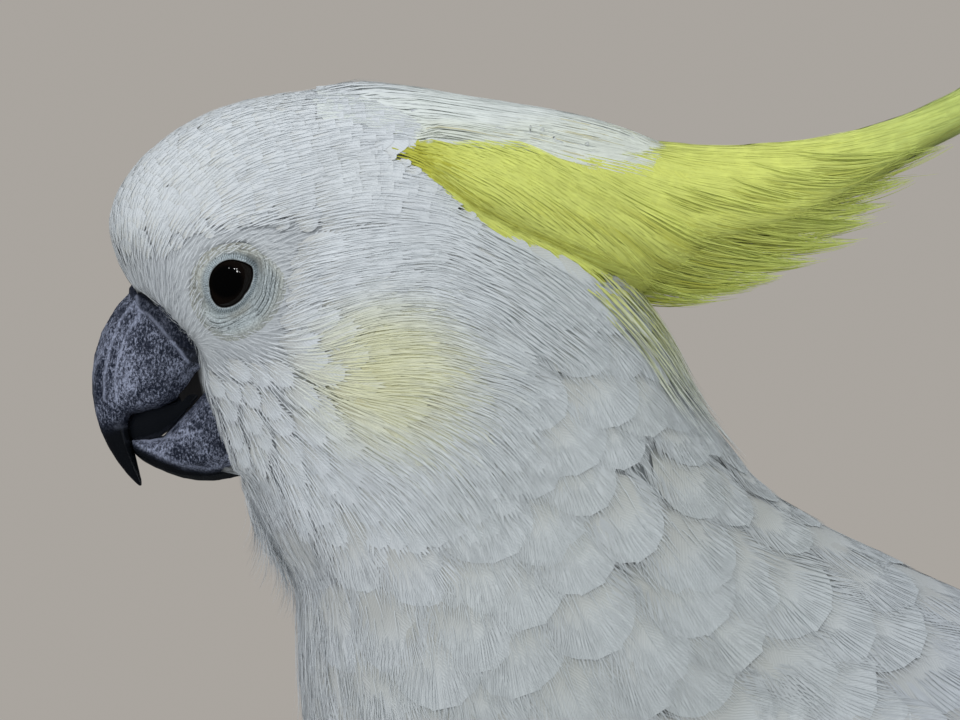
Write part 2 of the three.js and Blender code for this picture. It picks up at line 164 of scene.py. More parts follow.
hides = [copy_of(node, "skin_" + node) for node in SKIN_NODES]
only(hides[0])
bpy.ops.object.mode_set(mode="EDIT")
bpy.ops.mesh.select_all(action="SELECT")
bpy.ops.mesh.convex_hull()  # closes the sockets of bill and eyes
bpy.ops.object.mode_set(mode="OBJECT")
for hide in hides:
    finish_with(hide, "DISPLACE", strength=HIDE_SWELL, mid_level=0.0)
skin = merged(hides, "skin")
rounded_off(skin, SKIN_VOXEL, 10)
put(skin.data, places(skin.data) - vertex_normals(skin.data) * coat_depth(places(skin.data))[:, None])
finish_with(skin, "SMOOTH", factor=0.5, iterations=4)

# The edge of the feathering round the bill, as [back, up]; ahead of it the skin turns in.
FEATHER_LINE = np.array([(-21.1, -0.7), (-18.2, -2.2), (-14.8, -5.2), (-11.9, -8.3), (-9.2, -11.2),
                         (-6.3, -14.4), (-4.9, -18.7), (-4.3, -22.9), (-2.5, -27.4), (-0.4, -34.2),
                         (2.0, -40.4), (2.2, -43.5), (2.2, -60)])


def ahead_of_feathers(points):
    """Millimetres ahead of the edge of the feathering; negative behind it."""
    _, back, up = seen(points)
    edge = np.interp(-up, -FEATHER_LINE[:, 1], FEATHER_LINE[:, 0])
    return np.where(up > FEATHER_LINE[0, 1], -9.0, edge - back)


# The front of the throat under the chin, as [up, back], where the skin is kept slim.
THROAT_FRONT = np.array([(-110, 21), (-97.5, 18), (-87, 16.8), (-77.5, 16.4), (-70, 16), (-66.5, 15.2), (-62, 13),
                         (-59, 10.6), (-54, 8), (-49, 5.4), (-45, 3.4), (-42, 1.2)])
spots = places(skin.data)
out, back, up = seen(spots)
slim = np.interp(up, THROAT_FRONT[:, 0], THROAT_FRONT[:, 1]) + 0.015 * out ** 2
slim_part = (up < THROAT_FRONT[-1, 0]) & (up > THROAT_FRONT[0, 0]) & (back < slim)
spots[slim_part, 1] = EYE[1] + slim[slim_part] * MM
turned_in = blend_at(ahead_of_feathers(spots), -1.0, 1.8) * blend_at(-up, 0.7, 3) * (up > CHIN_UP)
spots[:, 0] = mixed(spots[:, 0], np.clip(spots[:, 0], -MOUTH_HALF, MOUTH_HALF), turned_in)
put(skin.data, spots)


whole_head = bpy.data.objects.new("whole_head", skin.data.copy())  # the skin before the eyes are set in
RING_TURNS = np.radians([0, 45, 90, 135, 180, 225, 270, 315, 360])
RING_REACH = np.array([12.8, 9.0, 7.2, 6.8, 6.9, 9.2, 12.6, 12.4, 12.8])  # bare skin, from the eye
out, back, up = seen(spots)
from_eye = np.hypot(back, up)
ring_here = np.minimum(np.interp(np.arctan2(up, back) % (2 * np.pi), RING_TURNS, RING_REACH), SOCKET_REACH)
EYE_RADIUS = (eye_box[1][0] - eye_box[0][0]) / 2
socket_floor = EYE[0] + np.sqrt(np.maximum(EYE_RADIUS ** 2 - (from_eye * MM) ** 2, 0)) - SOCKET_GAP
in_socket = (1 - blend_at(from_eye, ring_here - 0.8, ring_here + 1.4)) * (out > 8)
spots[:, 0] = mixed(spots[:, 0], np.sign(spots[:, 0]) * np.minimum(out * MM, socket_floor), in_socket)
put(skin.data, spots)

WHITE = np.array([0.735, 0.765, 0.785])
EAR_YELLOW = np.array([0.84, 0.82, 0.44])


def marking(points):
    """The colour of the plumage at a place: white, with a pale yellow patch on the ear, greyed by painted shade from
    the neck back over the body.
    """
    out, back, up = seen(points)
    from_ear = np.hypot((back - EAR_MIDDLE[0]) / 1.1, up - EAR_MIDDLE[1])
    ear = (1 - blend_at(from_ear, 4, 21)) * (out > 12)
    cream = 0.10 * blend_at(np.sin(back * 0.21) * np.sin(up * 0.17 + 1), 0.2, 1)
    colour = WHITE[None, :] * (1 - cream[:, None] * np.array([0.0, 0.02, 0.14]))
    # Painted shade: the white is greyed and cooled from the neck back, more over the body, with less taken from the
    # blue on the back.
    painted_shade = blend_at(back - 0.15 * up, 22, 72)[:, None] * np.array([0.15, 0.14, 0.16])
    painted_shade = painted_shade + 0.05 * blend_at(back - 0.15 * up, 70, 120)[:, None]
    colour = colour * (1 - painted_shade + blend_at(back, 100, 150)[:, None] * np.array([0, 0, 0.04]))
    return mixed(colour, EAR_YELLOW[None, :], 0.75 * ear[:, None])


def paint(mesh, colours, name="plume"):
    """Stores one colour for each vertex."""
    rows = np.ones((len(mesh.vertices), 4))
    rows[:, :3] = colours
    layer = mesh.attributes.new(name, "FLOAT_COLOR", "POINT")
    layer.data.foreach_set("color", rows.ravel())


def material_named(name, **principled):
    """A new node material and its shader, with values set on the shader's own sockets."""
    made = bpy.data.materials.new(name)
    made.use_nodes = True
    shader = made.node_tree.nodes["Principled BSDF"]
    for key, value in principled.items():
        shader.inputs[key.replace("_", " ")].default_value = value
    return made, made.node_tree, shader


def wire(tree, kind, settings=None, **inputs):
    """Adds a node; an input given as a socket is linked, and any other is set."""
    node = tree.nodes.new(kind)
    for key, value in (settings or {}).items():
        setattr(node, key, value)
    for key, value in inputs.items():
        socket = node.inputs[int(key[1:])] if key[0] == "i" and key[1:].isdigit() else node.inputs[key]
        if isinstance(value, bpy.types.NodeSocket):
            tree.links.new(value, socket)
        else:
            socket.default_value = value
    return node


def maths(tree, operation, first, second=0.0, third=0.0):
    """One Math node's result."""
    return wire(tree, "ShaderNodeMath", {"operation": operation}, i0=first, i1=second, i2=third).outputs[0]


def object_place(tree):
    """The place on the object, in its own axes."""
    return wire(tree, "ShaderNodeTexCoord").outputs["Object"]


def noise(tree, where, scale, detail, **more):
    """Soft random clouds, about 0 to 1."""
    return wire(tree, "ShaderNodeTexNoise", i0=where, Scale=scale, Detail=detail, **more).outputs["Fac"]


def wandering(tree, where, scale, far):
    """Places shifted by a soft noise, so that what is drawn over them is not regular."""
    cloud = wire(tree, "ShaderNodeTexNoise", i0=where, Scale=scale, Detail=2.0).outputs["Color"]
    return wire(tree, "ShaderNodeVectorMath", {"operation": "MULTIPLY_ADD"}, i0=cloud, i1=(far, far, far),
                i2=where).outputs[0]


def ranged(tree, value, start, end, first, last, kind="SMOOTHSTEP"):
    """A value carried from the range start..end to first..last."""
    return wire(tree, "ShaderNodeMapRange", {"interpolation_type": kind}, i0=value, i1=start, i2=end,
                i3=first, i4=last).outputs[0]


def colour_mix(tree, amount, low, high, blend="MIX"):
    return wire(tree, "ShaderNodeMix", {"data_type": "RGBA", "blend_type": blend}, i0=amount, i6=low,
                i7=high).outputs[2]


def stored_colour(tree, tone):
    """The colour stored on the piece, made lighter or darker by a tone."""
    grey = wire(tree, "ShaderNodeCombineXYZ", i0=tone, i1=tone, i2=tone).outputs[0]
    own = wire(tree, "ShaderNodeAttribute", {"attribute_name": "plume"}).outputs["Color"]
    return colour_mix(tree, 1.0, own, grey, "MULTIPLY")


def bumped(tree, strength, distance, height, **more):
    """A normal tilted by a height; distance is in millimetres."""
    return wire(tree, "ShaderNodeBump", Strength=strength, Distance=distance * MM, Height=height, **more).outputs[0]


def link_to(tree, node, **sources):
    """Links results to a node's inputs by name."""
    for key, source in sources.items():
        tree.links.new(source, node.inputs[key.replace("_", " ")])


def shared_effect(name, inputs, outputs):
    """An empty node group with these sockets, and its output node."""
    group = bpy.data.node_groups.new(name, "ShaderNodeTree")
    for labels, in_out in ((inputs, "INPUT"), (outputs, "OUTPUT")):
        for label in labels:
            kind = "NodeSocketColor" if label == "Colour" else "NodeSocketFloat"
            group.interface.new_socket(label, in_out=in_out, socket_type=kind)
    return group, group.nodes.new("NodeGroupOutput")


# The fine ribbing of a vane: barbs that leave the shaft slantwise, Pitch millimetres apart, with the height changes
# they make, a small random tone, and painted shade in the grooves between them. The map named Vane is in millimetres.
vane_group, vane_out = shared_effect("vane_barbs", ("Pitch", "Depth"), ("Colour", "Height"))
vane_in = vane_group.nodes.new("NodeGroupInput")
vane_map = wire(vane_group, "ShaderNodeUVMap", {"uv_map": "Vane"}).outputs[0]
vane_axes = wire(vane_group, "ShaderNodeSeparateXYZ", i0=vane_map)
across = maths(vane_group, "ABSOLUTE", vane_axes.outputs[0])
slant = maths(vane_group, "SUBTRACT", maths(vane_group, "MULTIPLY", across, 0.8),
              maths(vane_group, "MULTIPLY", vane_axes.outputs[1], 0.6))
where = object_place(vane_group)
drift = noise(vane_group, where, 260.0, 2.0)
slant = maths(vane_group, "ADD", slant, maths(vane_group, "MULTIPLY", drift, 1.2))
turns = maths(vane_group, "DIVIDE", maths(vane_group, "MULTIPLY", slant, 6.283), vane_in.outputs["Pitch"])
barb = maths(vane_group, "MULTIPLY_ADD", maths(vane_group, "SINE", turns), 0.5, 0.5)
# Painted shade: the grooves between the barbs are darkened by the given amount.
groove = maths(vane_group, "MULTIPLY", maths(vane_group, "SUBTRACT", 1.0, barb), vane_in.outputs["Depth"])
tone = maths(vane_group, "MULTIPLY_ADD", noise(vane_group, where, 90.0, 3.0), 0.10, 0.92)
tone = maths(vane_group, "SUBTRACT", tone, groove)
link_to(vane_group, vane_out, Colour=stored_colour(vane_group, tone), Height=barb)


def plumage_material(name, pitch, depth, bump, **principled):
    """Feather material: stored colour, barb ribbing with painted shade in the grooves between the barbs, and a soft
    bump. The outer face takes the soft normals of the coat, and the inner face its own."""
    made, tree, shader = material_named(name, **principled)
    face = wire(tree, "ShaderNodeNewGeometry")
    calm = wire(tree, "ShaderNodeMix", {"data_type": "VECTOR"}, i0=face.outputs["Backfacing"],
                i4=face.outputs["Normal"], i5=face.outputs["True Normal"]).outputs[1]
    barbs = wire(tree, "ShaderNodeGroup", {"node_tree": vane_group}, Pitch=pitch, Depth=depth)
    lifted = bumped(tree, bump, 0.12, barbs.outputs["Height"], Normal=calm)
    link_to(tree, shader, Base_Color=barbs.outputs["Colour"], Normal=lifted)
    return made


white_plumage = plumage_material("white_plumage", 0.62, 0.07, 0.35, Roughness=0.72,
                                 Sheen_Weight=0.25, Sheen_Roughness=0.5, Specular_IOR_Level=0.25)
MOUTH_SHADE_BLACK = np.array([0.015, 0.014, 0.014])  # painted shade: the inside of the mouth
# The skin turned in at the gape is painted near black, as the shade inside the mouth.
spots = places(skin.data)
gape = blend_at(ahead_of_feathers(spots), 0.5, 2.5) * (seen(spots)[2] > CHIN_UP)
paint(skin.data, mixed(marking(spots) * 0.8, MOUTH_SHADE_BLACK, gape[:, None]))
down_coat, down_tree, down_shader = material_named("white_down", Roughness=0.85, Specular_IOR_Level=0.15)
fluff = noise(down_tree, object_place(down_tree), 1100.0, 4.0)
link_to(down_tree, down_shader, Base_Color=stored_colour(down_tree, maths(down_tree, "MULTIPLY_ADD", fluff, 0.3, 0.78)),
        Normal=bumped(down_tree, 0.5, 0.2, fluff))
skin.data.materials.append(down_coat)
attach(skin, "root")
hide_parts(*SKIN_NODES)


# ---------------------------------------------------------------- crown feathers
# Short, close feathers of forehead and crown, smooth as satin, that lie back from the bill.
# Each is a thin vane rooted in the skin, under a satin of single barbs. The ways of making
# roots, lines, vanes and loose barbs, which all later feathers share, stand here too.
def surface_of(piece):
    """A searchable surface: its tree, and each face's smooth normal, corners and area."""
    mesh = piece.data
    corners = places(mesh)
    smooth = vertex_normals(mesh)
    faces = [tuple(face.vertices) for face in mesh.polygons]
    quads = np.array([face if len(face) == 4 else (*face, face[-1]) for face in faces])
    spots = corners[quads]
    half = 0.5 * np.linalg.norm(np.cross(spots[:, 1] - spots[:, 0], spots[:, 2] - spots[:, 0]), axis=1)
    rest = 0.5 * np.linalg.norm(np.cross(spots[:, 2] - spots[:, 0], spots[:, 3] - spots[:, 0]), axis=1)
    normals = smooth[quads].mean(axis=1)
    normals /= np.linalg.norm(normals, axis=1)[:, None] + 1e-12
    return {"tree": BVHTree.FromPolygons(corners.tolist(), faces), "normals": normals,
            "spots": spots, "area": half + rest}


def settle(surface, points):
    """The nearest places on a surface, and its normals there."""
    spots = np.empty_like(points)
    normals = np.empty_like(points)
    find = surface["tree"].find_nearest
    for i, point in enumerate(points.tolist()):
        spot, _, face, _ = find(point)
        spots[i] = spot
        normals[i] = surface["normals"][face]
    return spots, normals


def scatter(surface, keep, pitch, seed):
    """Roots spread evenly over the kept part of a surface, no two nearer than pitch."""
    rng = np.random.default_rng(seed)
    chosen = np.nonzero(keep(surface["spots"].mean(axis=1)))[0]
    area = surface["area"][chosen]
    count = int(area.sum() / pitch ** 2 * 4)
    face = chosen[rng.choice(len(chosen), size=count, p=area / area.sum())]
    a, b = rng.random((2, count, 1))
    spots = surface["spots"][face]
    points = mixed(mixed(spots[:, 0], spots[:, 1], a), mixed(spots[:, 3], spots[:, 2], a), b)
    points = points[keep(points)]
    taken = {}
    roots = []
    near = [(i, j, k) for i in (-1, 0, 1) for j in (-1, 0, 1) for k in (-1, 0, 1)]
    for point in points.tolist():
        cell = tuple(int(math.floor(value / pitch)) for value in point)
        others = [other for i, j, k in near for other in taken.get((cell[0] + i, cell[1] + j, cell[2] + k), ())]
        if all(math.dist(other, point) >= pitch for other in others):
            taken.setdefault(cell, []).append(point)
            roots.append(point)
    return np.array(roots)


def unit(rows):
    """Rows made one long."""
    return rows / (np.linalg.norm(rows, axis=-1, keepdims=True) + 1e-12)


# The lie of the coat, seen from the side: [back, up, and the way the feathers point there].
COAT_LIE = np.array([
    [-25, 11, 0.05, 1], [-21.5, 25, 0.5, 0.85], [-11.5, 34.5, 0.85, 0.5], [4, 41, 0.97, 0.22],
    [22, 43, 1, 0.03], [42, 42, 1, -0.06], [-18, 0, 0.2, 1], [-13.7, 12, 0.5, 0.85],
    [-9, 23, 0.75, 0.65], [-8, -6, 0.55, 0.6], [4.3, 12, 0.95, 0.3], [13, 18.6, 0.97, 0.2],
    [22, 25, 0.97, 0.2], [38, 18.6, 0.97, -0.2], [54, 9.7, 0.85, -0.5], [20, 7.4, 0.98, 0.15],
    [38, 6.3, 0.95, 0.15], [51, 2, 0.85, -0.35], [62, -10, 0.7, -0.6], [24.5, -10.5, 0.93, 0.36],
    [15.5, -4, 0.95, 0.3], [34.6, -18.4, 1, 0.06], [56, -22, 0.94, -0.25], [65, -31, 0.6, -0.8],
    [31, -37.5, 0.85, -0.5], [47, -49, 0.6, -0.8], [15.5, -31, 0.8, -0.6], [6.5, -26, 0.6, -0.8],
    [2, -35, 0.35, -0.93], [2, -19.5, 0.8, -0.35], [9, -49, 0.3, -0.95], [15.5, -62, 0.3, -0.95],
    [22, -53, 0.45, -0.9], [65, -53, 0.35, -0.93], [83, -4, 0.7, -0.7], [74, 14, 0.8, -0.6],
    [92, -22, 0.55, -0.83], [83, -37.5, 0.4, -0.92], [96, -44, 0.5, -0.85], [105, -62, 0.55, -0.83],
    [60, -76, 0.22, -0.97], [38, -82, 0.15, -0.98], [18, -89, 0.1, -0.99], [83, -89, 0.4, -0.9],
    [114, -53, 0.75, -0.65], [119, -76, 0.75, -0.65], [132, -62, 0.9, -0.42], [146, -80, 0.92, -0.4],
    [162, -76, 0.93, -0.36], [200, -100, 0.9, -0.42], [20, -120, 0.15, -1], [36, -148, 0.45, -0.9],
    [62, -170, 0.8, -0.5], [120, -182, 1, -0.03], [200, -177, 1, 0.05], [262, -135, 0.88, -0.46],
    [80, -135, 0.6, -0.8], [100, -108, 0.85, -0.5], [140, -110, 0.95, -0.3], [180, -130, 0.94, -0.33],
    [125, -155, 0.98, -0.2], [230, -150, 0.92, -0.38], [130, -200, 0.1, -1],
], float)


def lie_of(table):
    """A way of pointing along a surface, blended from a table like the one above."""
    def lie(points, normals):
        _, back, up = seen(points)
        away = (back[:, None] - table[None, :, 0]) ** 2 + (up[:, None] - table[None, :, 1]) ** 2
        weight = 1 / (away + 16) ** 1.6
        way = np.zeros_like(points)
        way[:, 1] = weight @ table[:, 2]
        way[:, 2] = weight @ table[:, 3]
        way = unit(way)
        return unit(way - normals * (way * normals).sum(axis=1, keepdims=True))
    return lie


coat_lie = lie_of(COAT_LIE)
FINE_STEPS = np.array([0, 0.18, 0.36, 0.53, 0.68, 0.81, 0.91, 0.975, 1.0])
FEW_STEPS = np.array([0, 0.3, 0.56, 0.78, 0.93, 1.0])


def lines_of(spots, soft):
    """Lines of places with soft normals, and their headings and the normals square to these."""
    headings = unit(np.gradient(spots, axis=1))
    normals = unit(soft - headings * (soft * headings).sum(axis=2, keepdims=True))
    return spots, normals, headings, soft


def trails(surface, roots, lie, length, low, high, rng, sway=0.1, curl=0.0, steps=FINE_STEPS, free=2.0,
           keep_way=0.55, aside=0.0, sunk=0.35):
    """Lines that follow the lie of the coat from each root and rise from low to high above the
    surface; past free they leave it and curl. They set out turned aside by so many radians, with the
    root itself sunk, and keep to the way they have by keep_way."""
    count = len(roots)
    length, low, high, curl = (np.broadcast_to(v, count).astype(float) for v in (length, low, high, curl))
    spot, normal = settle(surface, roots)
    way = lie(spot, normal)
    turn = (rng.normal(0, 1, count) * np.broadcast_to(np.ravel(sway), count) + aside)[:, None]
    way = unit(way * np.cos(turn) + np.cross(normal, way) * np.sin(turn))
    spots, normals = [], []
    for k, s in enumerate(steps):
        if k:
            step = (s - steps[k - 1]) * length[:, None]
            ahead = spot + way * step
            if s <= free:
                ahead, turned = settle(surface, ahead)
                fresh = unit(turned + normal * 0.6)
                way = unit(way * keep_way + lie(ahead, fresh) * (1 - keep_way))
                way = unit(way - fresh * (way * fresh).sum(axis=1, keepdims=True))
                normal = fresh
            spot = ahead
        height = low + (high - low) * s ** 0.85 + curl * s ** 3 if k else low * sunk
        spots.append(spot + normal * height[:, None])
        normals.append(normal)
    return lines_of(np.stack(spots, axis=1), np.stack(normals, axis=1))


BODY_AXIS = ((-24, 4), (10, -2), (45, -22), (70, -70), (110, -112), (170, -128), (240, -146),
             (300, -166), (440, -226))


def unwrapped(points, axis=BODY_AXIS):
    """Places on an unwrap of the body: round its own axis, and along it."""
    _, back, up = seen(points)
    line = np.array(axis, float)
    reach = np.concatenate([[0], np.cumsum(np.linalg.norm(np.diff(line, axis=0), axis=1))])
    best = np.full(len(points), 1e9)
    along = np.zeros(len(points))
    over = np.zeros(len(points))
    for i in range(len(line) - 1):
        step = line[i + 1] - line[i]
        size = np.hypot(*step)
        step = step / size
        t = np.clip((back - line[i, 0]) * step[0] + (up - line[i, 1]) * step[1], 0, size)
        gap_back = back - line[i, 0] - t * step[0]
        gap_up = up - line[i, 1] - t * step[1]
        nearer = np.hypot(gap_back, gap_up) < best
        best[nearer] = np.hypot(gap_back, gap_up)[nearer]
        along[nearer] = reach[i] + t[nearer]
        over[nearer] = (gap_up * step[0] - gap_back * step[1])[nearer]
    turn = np.arctan2(points[:, 0] / MM, over) / (2 * np.pi) + 0.5
    return np.stack([0.02 + 0.96 * turn, 0.02 + 0.96 * along / reach[-1]], axis=1)


TUFT_PATCH = 0.003  # each feather's own patch on the unwrap
NO_TRIS = np.zeros((0, 3), int)


def batch_of(points, normals, quads, tris, vane, local, owner, roots, colour, axis):
    """One batch of feather mesh. owner is each vertex's feather; local is its place on it."""
    patch = unwrapped(roots, axis)[owner] + (local - 0.5) * TUFT_PATCH
    return {"points": points, "normals": unit(normals), "quads": quads, "tris": tris, "vane": vane,
            "patch": patch, "colour": colour}


def row_quads(number):
    """Four-cornered faces between the rows and columns of numbered places."""
    return np.stack([number[:, :-1, :-1], number[:, :-1, 1:], number[:, 1:, 1:], number[:, 1:, :-1]],
                    axis=-1).reshape(-1, 4)


# The free barb ends of a vane: how uneven they are, how far they fan out, how thick.
RAGGED, SPLAY, FINENESS = 0.4, 0.52, 0.5
SHADE_WARMTH = np.array([0, 0.03, 0.09])  # the shade at a vane's root, warmer than its tip


def row_shade(s, under, shown):
    """Painted shade along a feather's length: under at its root, which the row above covers and shades, 1 where it
    shows.
    """
    return mixed(under, 1.0, blend_at(s, shown - 0.25, shown + 0.3))


def vanes(line, width, roots, tint, rng, teeth, camber, tooth=0.0, columns=5, blunt=0.3, tip_from=0.5,
          root_width=0.35, under=0.80, steps=FINE_STEPS, axis=BODY_AXIS, shaft=0.0, softness=0.7, shown=0.55,
          over_skin=None):
    """Feathers along lines: a cambered vane each, with a comb of barb ends round its free edge.
    Given the surface they lie over, the vanes wrap round it."""
    spots, normals, headings, soft = line
    count, rows = spots.shape[:2]
    width = np.broadcast_to(width, count).astype(float)
    sides = unit(np.cross(headings, normals))
    over = np.linspace(-1, 1, columns)
    over = np.sign(over) * np.abs(over) ** 0.8
    past = np.clip((steps - tip_from) / (1 - tip_from), 0, 1)
    shape = np.where(steps < tip_from, mixed(root_width, 1, np.sin(np.clip(steps / tip_from, 0, 1) * np.pi / 2)),
                     np.sqrt(np.maximum(1 - past ** 2.2, blunt ** 2)))
    spread = over[None, None, :] * shape[None, :, None] * width[:, None, None] * 0.5
    drop = camber * (over ** 2)[None, None, :] * shape[None, :, None] * width[:, None, None]
    ridge = shaft * (over == 0)[None, None, :] * (1 - 0.8 * steps)[None, :, None]
    grid = (spots[:, :, None] + sides[:, :, None] * spread[..., None]
            + normals[:, :, None] * (ridge - drop)[..., None])
    bent = (normals[:, :, None] + sides[:, :, None] * (over * camber * 3)[None, None, :, None]) * (1 - softness)
    bent = bent + soft[:, :, None] * softness
    if over_skin:
        foot, turned = settle(over_skin, grid.reshape(-1, 3))
        middle_foot = settle(over_skin, spots.reshape(-1, 3))[0].reshape(spots.shape)
        height = np.linalg.norm(spots - middle_foot, axis=2)[:, :, None] - drop
        bent = turned.reshape(grid.shape)
        grid = foot.reshape(grid.shape) + bent * height[..., None]
    reach = np.linalg.norm(spots[:, -1] - spots[:, 0], axis=1)
    down = np.broadcast_to((steps[None, :] * reach[:, None])[:, :, None], spread.shape)
    local = np.empty((count, rows, columns, 2))
    local[..., 0] = over[None, None, :] * 0.5 + 0.5
    local[..., 1] = steps[None, :, None]
    # Painted shade: each vane is darker and warmer towards its covered root, where the row above shades it.
    covered = 1 - blend_at(steps, shown - 0.25, shown + 0.3)
    shade = row_shade(steps, under, shown)[:, None] * (1 - covered[:, None] * SHADE_WARMTH)
    colour = np.broadcast_to(tint[:, None, None, :] * shade[None, :, None, :], (count, rows, columns, 3))
    number = np.arange(count * rows * columns).reshape(count, rows, columns)
    made = [batch_of(grid.reshape(-1, 3), bent.reshape(-1, 3), row_quads(number), NO_TRIS,
                     np.stack([spread, down], axis=-1).reshape(-1, 2) / MM, local.reshape(-1, 2),
                     np.repeat(np.arange(count), rows * columns), roots, colour.reshape(-1, 3), axis)]
    if not teeth:
        return made
    turn = np.linspace(-1.75, 1.75, teeth)[None, :] + rng.normal(0, 0.03, (count, teeth))
    s = np.clip(tip_from + (1 - tip_from) * np.cos(turn), 0.15, 1)
    wide = np.interp(s, steps, shape)
    u = np.clip(np.sin(turn) / np.maximum(wide, 1e-3), -1, 1) * 0.9
    row = np.interp(s, steps, np.arange(rows))
    low_row = np.minimum(row.astype(int), rows - 2)
    part = (row - low_row)[..., None]
    each = np.arange(count)[:, None]
    way, out, side = (mixed(part_of[each, low_row], part_of[each, low_row + 1], part)
                      for part_of in (headings, normals, sides))
    column = np.interp(u, over, np.arange(columns))
    low_column = np.minimum(column.astype(int), columns - 2)
    column_part = (column - low_column)[..., None]
    base, calm = (mixed(*(mixed(part_of[each, low_row + k, low_column], part_of[each, low_row + k, low_column + 1],
                                column_part) for k in (0, 1)), part) for part_of in (grid, bent))
    lean = (turn * SPLAY + rng.normal(0, 0.07, turn.shape))[..., None]
    barb_way = unit(way * np.cos(lean) + side * np.sin(lean))
    barb_side = unit(np.cross(barb_way, out))
    size = (tooth * width[:, None] * (1 - RAGGED + 2 * RAGGED * rng.random(turn.shape)))[..., None]
    thick = (width * 0.5 * 3.5 / teeth * FINENESS)[:, None, None]
    fall = rng.normal(0.08, 0.10, turn.shape)[..., None]
    start = base - barb_way * size * 0.6
    middle = base + barb_way * size * 0.4 - out * size * fall * 0.3
    end = base + barb_way * size - out * size * fall
    points = np.stack([start - barb_side * thick, start + barb_side * thick,
                       middle - barb_side * thick * 0.6, middle + barb_side * thick * 0.6, end], axis=2)
    first = np.arange(count * teeth)[:, None] * 5
    owner = np.repeat(np.arange(count), teeth * 5)
    calm = np.repeat(calm.reshape(-1, 3), 5, axis=0)
    vane = np.stack([u * wide * width[:, None] * 0.5, s * reach[:, None]], axis=-1) / MM
    # The barb ends take the same painted shade along the feather.
    shade = np.stack([row_shade(s, under, shown)] * 3, axis=-1)
    made.append(batch_of(points.reshape(-1, 3), calm, first + np.array([0, 1, 3, 2]), first + np.array([2, 3, 4]),
                         np.repeat(vane.reshape(-1, 2), 5, axis=0),
                         np.repeat(np.stack([u * 0.5 + 0.5, s], axis=-1).reshape(-1, 2), 5, axis=0), owner, roots,
                         tint[owner] * np.repeat(shade.reshape(-1, 3), 5, axis=0), axis))
    return made


def strands(line, width, roots, tint, rng, root_shade=0.8, axis=BODY_AXIS, steps=FINE_STEPS, roll=0.5,
            softness=0.6, tip_tint=None):
    """Loose barbs along lines: narrow ribbons that taper to a point."""
    spots, normals, headings, soft = line
    count, rows = spots.shape[:2]
    width = np.broadcast_to(width, count).astype(float)
    turn = np.clip(rng.normal(0, roll, count), -1.2, 1.2)[:, None, None]
    flat = unit(np.cross(headings, normals))
    sides = flat * np.cos(turn) + normals * np.sin(turn)
    faced = normals * np.cos(turn) - flat * np.sin(turn)
    taper = np.clip(np.minimum(1.12 - steps, 0.3 + 3 * steps), 0.08, 1)[None, :, None] * width[:, None, None] * 0.5
    grid = np.stack([spots - sides * taper, spots + sides * taper], axis=2)
    calm = np.stack([soft * softness + faced * (1 - softness)] * 2, axis=2)
    number = np.arange(count * rows * 2).reshape(count, rows, 2)
    colour = tint[:, None, None, :]
    if tip_tint is not None:
        colour = mixed(colour, tip_tint[:, None, None, :], (steps ** 1.5)[None, :, None, None])
    # root_shade darkens each barb towards its root: painted shade where other barbs lie over it.
    colour = np.broadcast_to(colour * mixed(root_shade, 1.0, steps)[None, :, None, None], (count, rows, 2, 3))
    local = np.empty((count, rows, 2, 2))
    local[..., 0] = (0.0, 1.0)
    local[..., 1] = steps[None, :, None]
    return [batch_of(grid.reshape(-1, 3), calm.reshape(-1, 3), row_quads(number), NO_TRIS,
                     np.zeros((count * rows * 2, 2)), local.reshape(-1, 2), np.repeat(np.arange(count), rows * 2),
                     roots, colour.reshape(-1, 3), axis)]


def coat_piece(name, batches, material, slot, *nodes):
    """Joins batches of feathers into one piece, with its maps, colours and soft shading."""
    start = np.cumsum([0] + [len(batch["points"]) for batch in batches])
    points = np.concatenate([batch["points"] for batch in batches])
    quads = np.concatenate([batch["quads"] + n for batch, n in zip(batches, start)])
    tris = np.concatenate([batch["tris"] + n for batch, n in zip(batches, start)])
    mesh = bpy.data.meshes.new(name)
    mesh.vertices.add(len(points))
    mesh.vertices.foreach_set("co", points.ravel())
    corners = np.concatenate([quads.ravel(), tris.ravel()]).astype(np.int32)
    sizes = np.concatenate([np.full(len(quads), 4), np.full(len(tris), 3)])
    mesh.loops.add(len(corners))
    mesh.loops.foreach_set("vertex_index", corners)
    mesh.polygons.add(len(sizes))
    mesh.polygons.foreach_set("loop_start", np.concatenate([[0], np.cumsum(sizes)[:-1]]).astype(np.int32))
    mesh.polygons.foreach_set("use_smooth", np.ones(len(sizes), dtype=bool))
    mesh.update(calc_edges=True)
    for label, key in (("OFBake", "patch"), ("Vane", "vane")):
        rows = np.concatenate([batch[key] for batch in batches])
        layer = mesh.uv_layers.new(name=label)
        layer.data.foreach_set("uv", rows[corners].ravel())
    paint(mesh, np.concatenate([batch["colour"] for batch in batches]))
    mesh.normals_split_custom_set_from_vertices(np.concatenate([batch["normals"] for batch in batches]).tolist())
    mesh.materials.append(material)
    piece = placed(name, mesh)
    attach(piece, "root")
    if nodes:
        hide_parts(*nodes)


def within(points, outline):
    """True where a place lies inside an outline of [back, up] corners, seen from the side."""
    _, back, up = seen(points)
    inside = np.zeros(len(points), dtype=bool)
    for (b0, u0), (b1, u1) in zip(outline, outline[1:] + outline[:1]):
        crosses = (u0 > up) != (u1 > up)
        inside ^= crosses & (back < (b1 - b0) * (up - u0) / (u1 - u0 + 1e-9) + b0)
    return inside


def off_bare_skin(points, margin=0.0):
    """True behind the edge of the bill's feathering and outside the bare ring of the eye."""
    out, back, up = seen(points)
    ring = np.interp(np.arctan2(up, back) % (2 * np.pi), RING_TURNS, RING_REACH)
    behind_bill = ahead_of_feathers(points) < -np.maximum(margin, -0.9)
    return behind_bill & ((np.hypot(back, up) > ring + margin) | (out < 10))


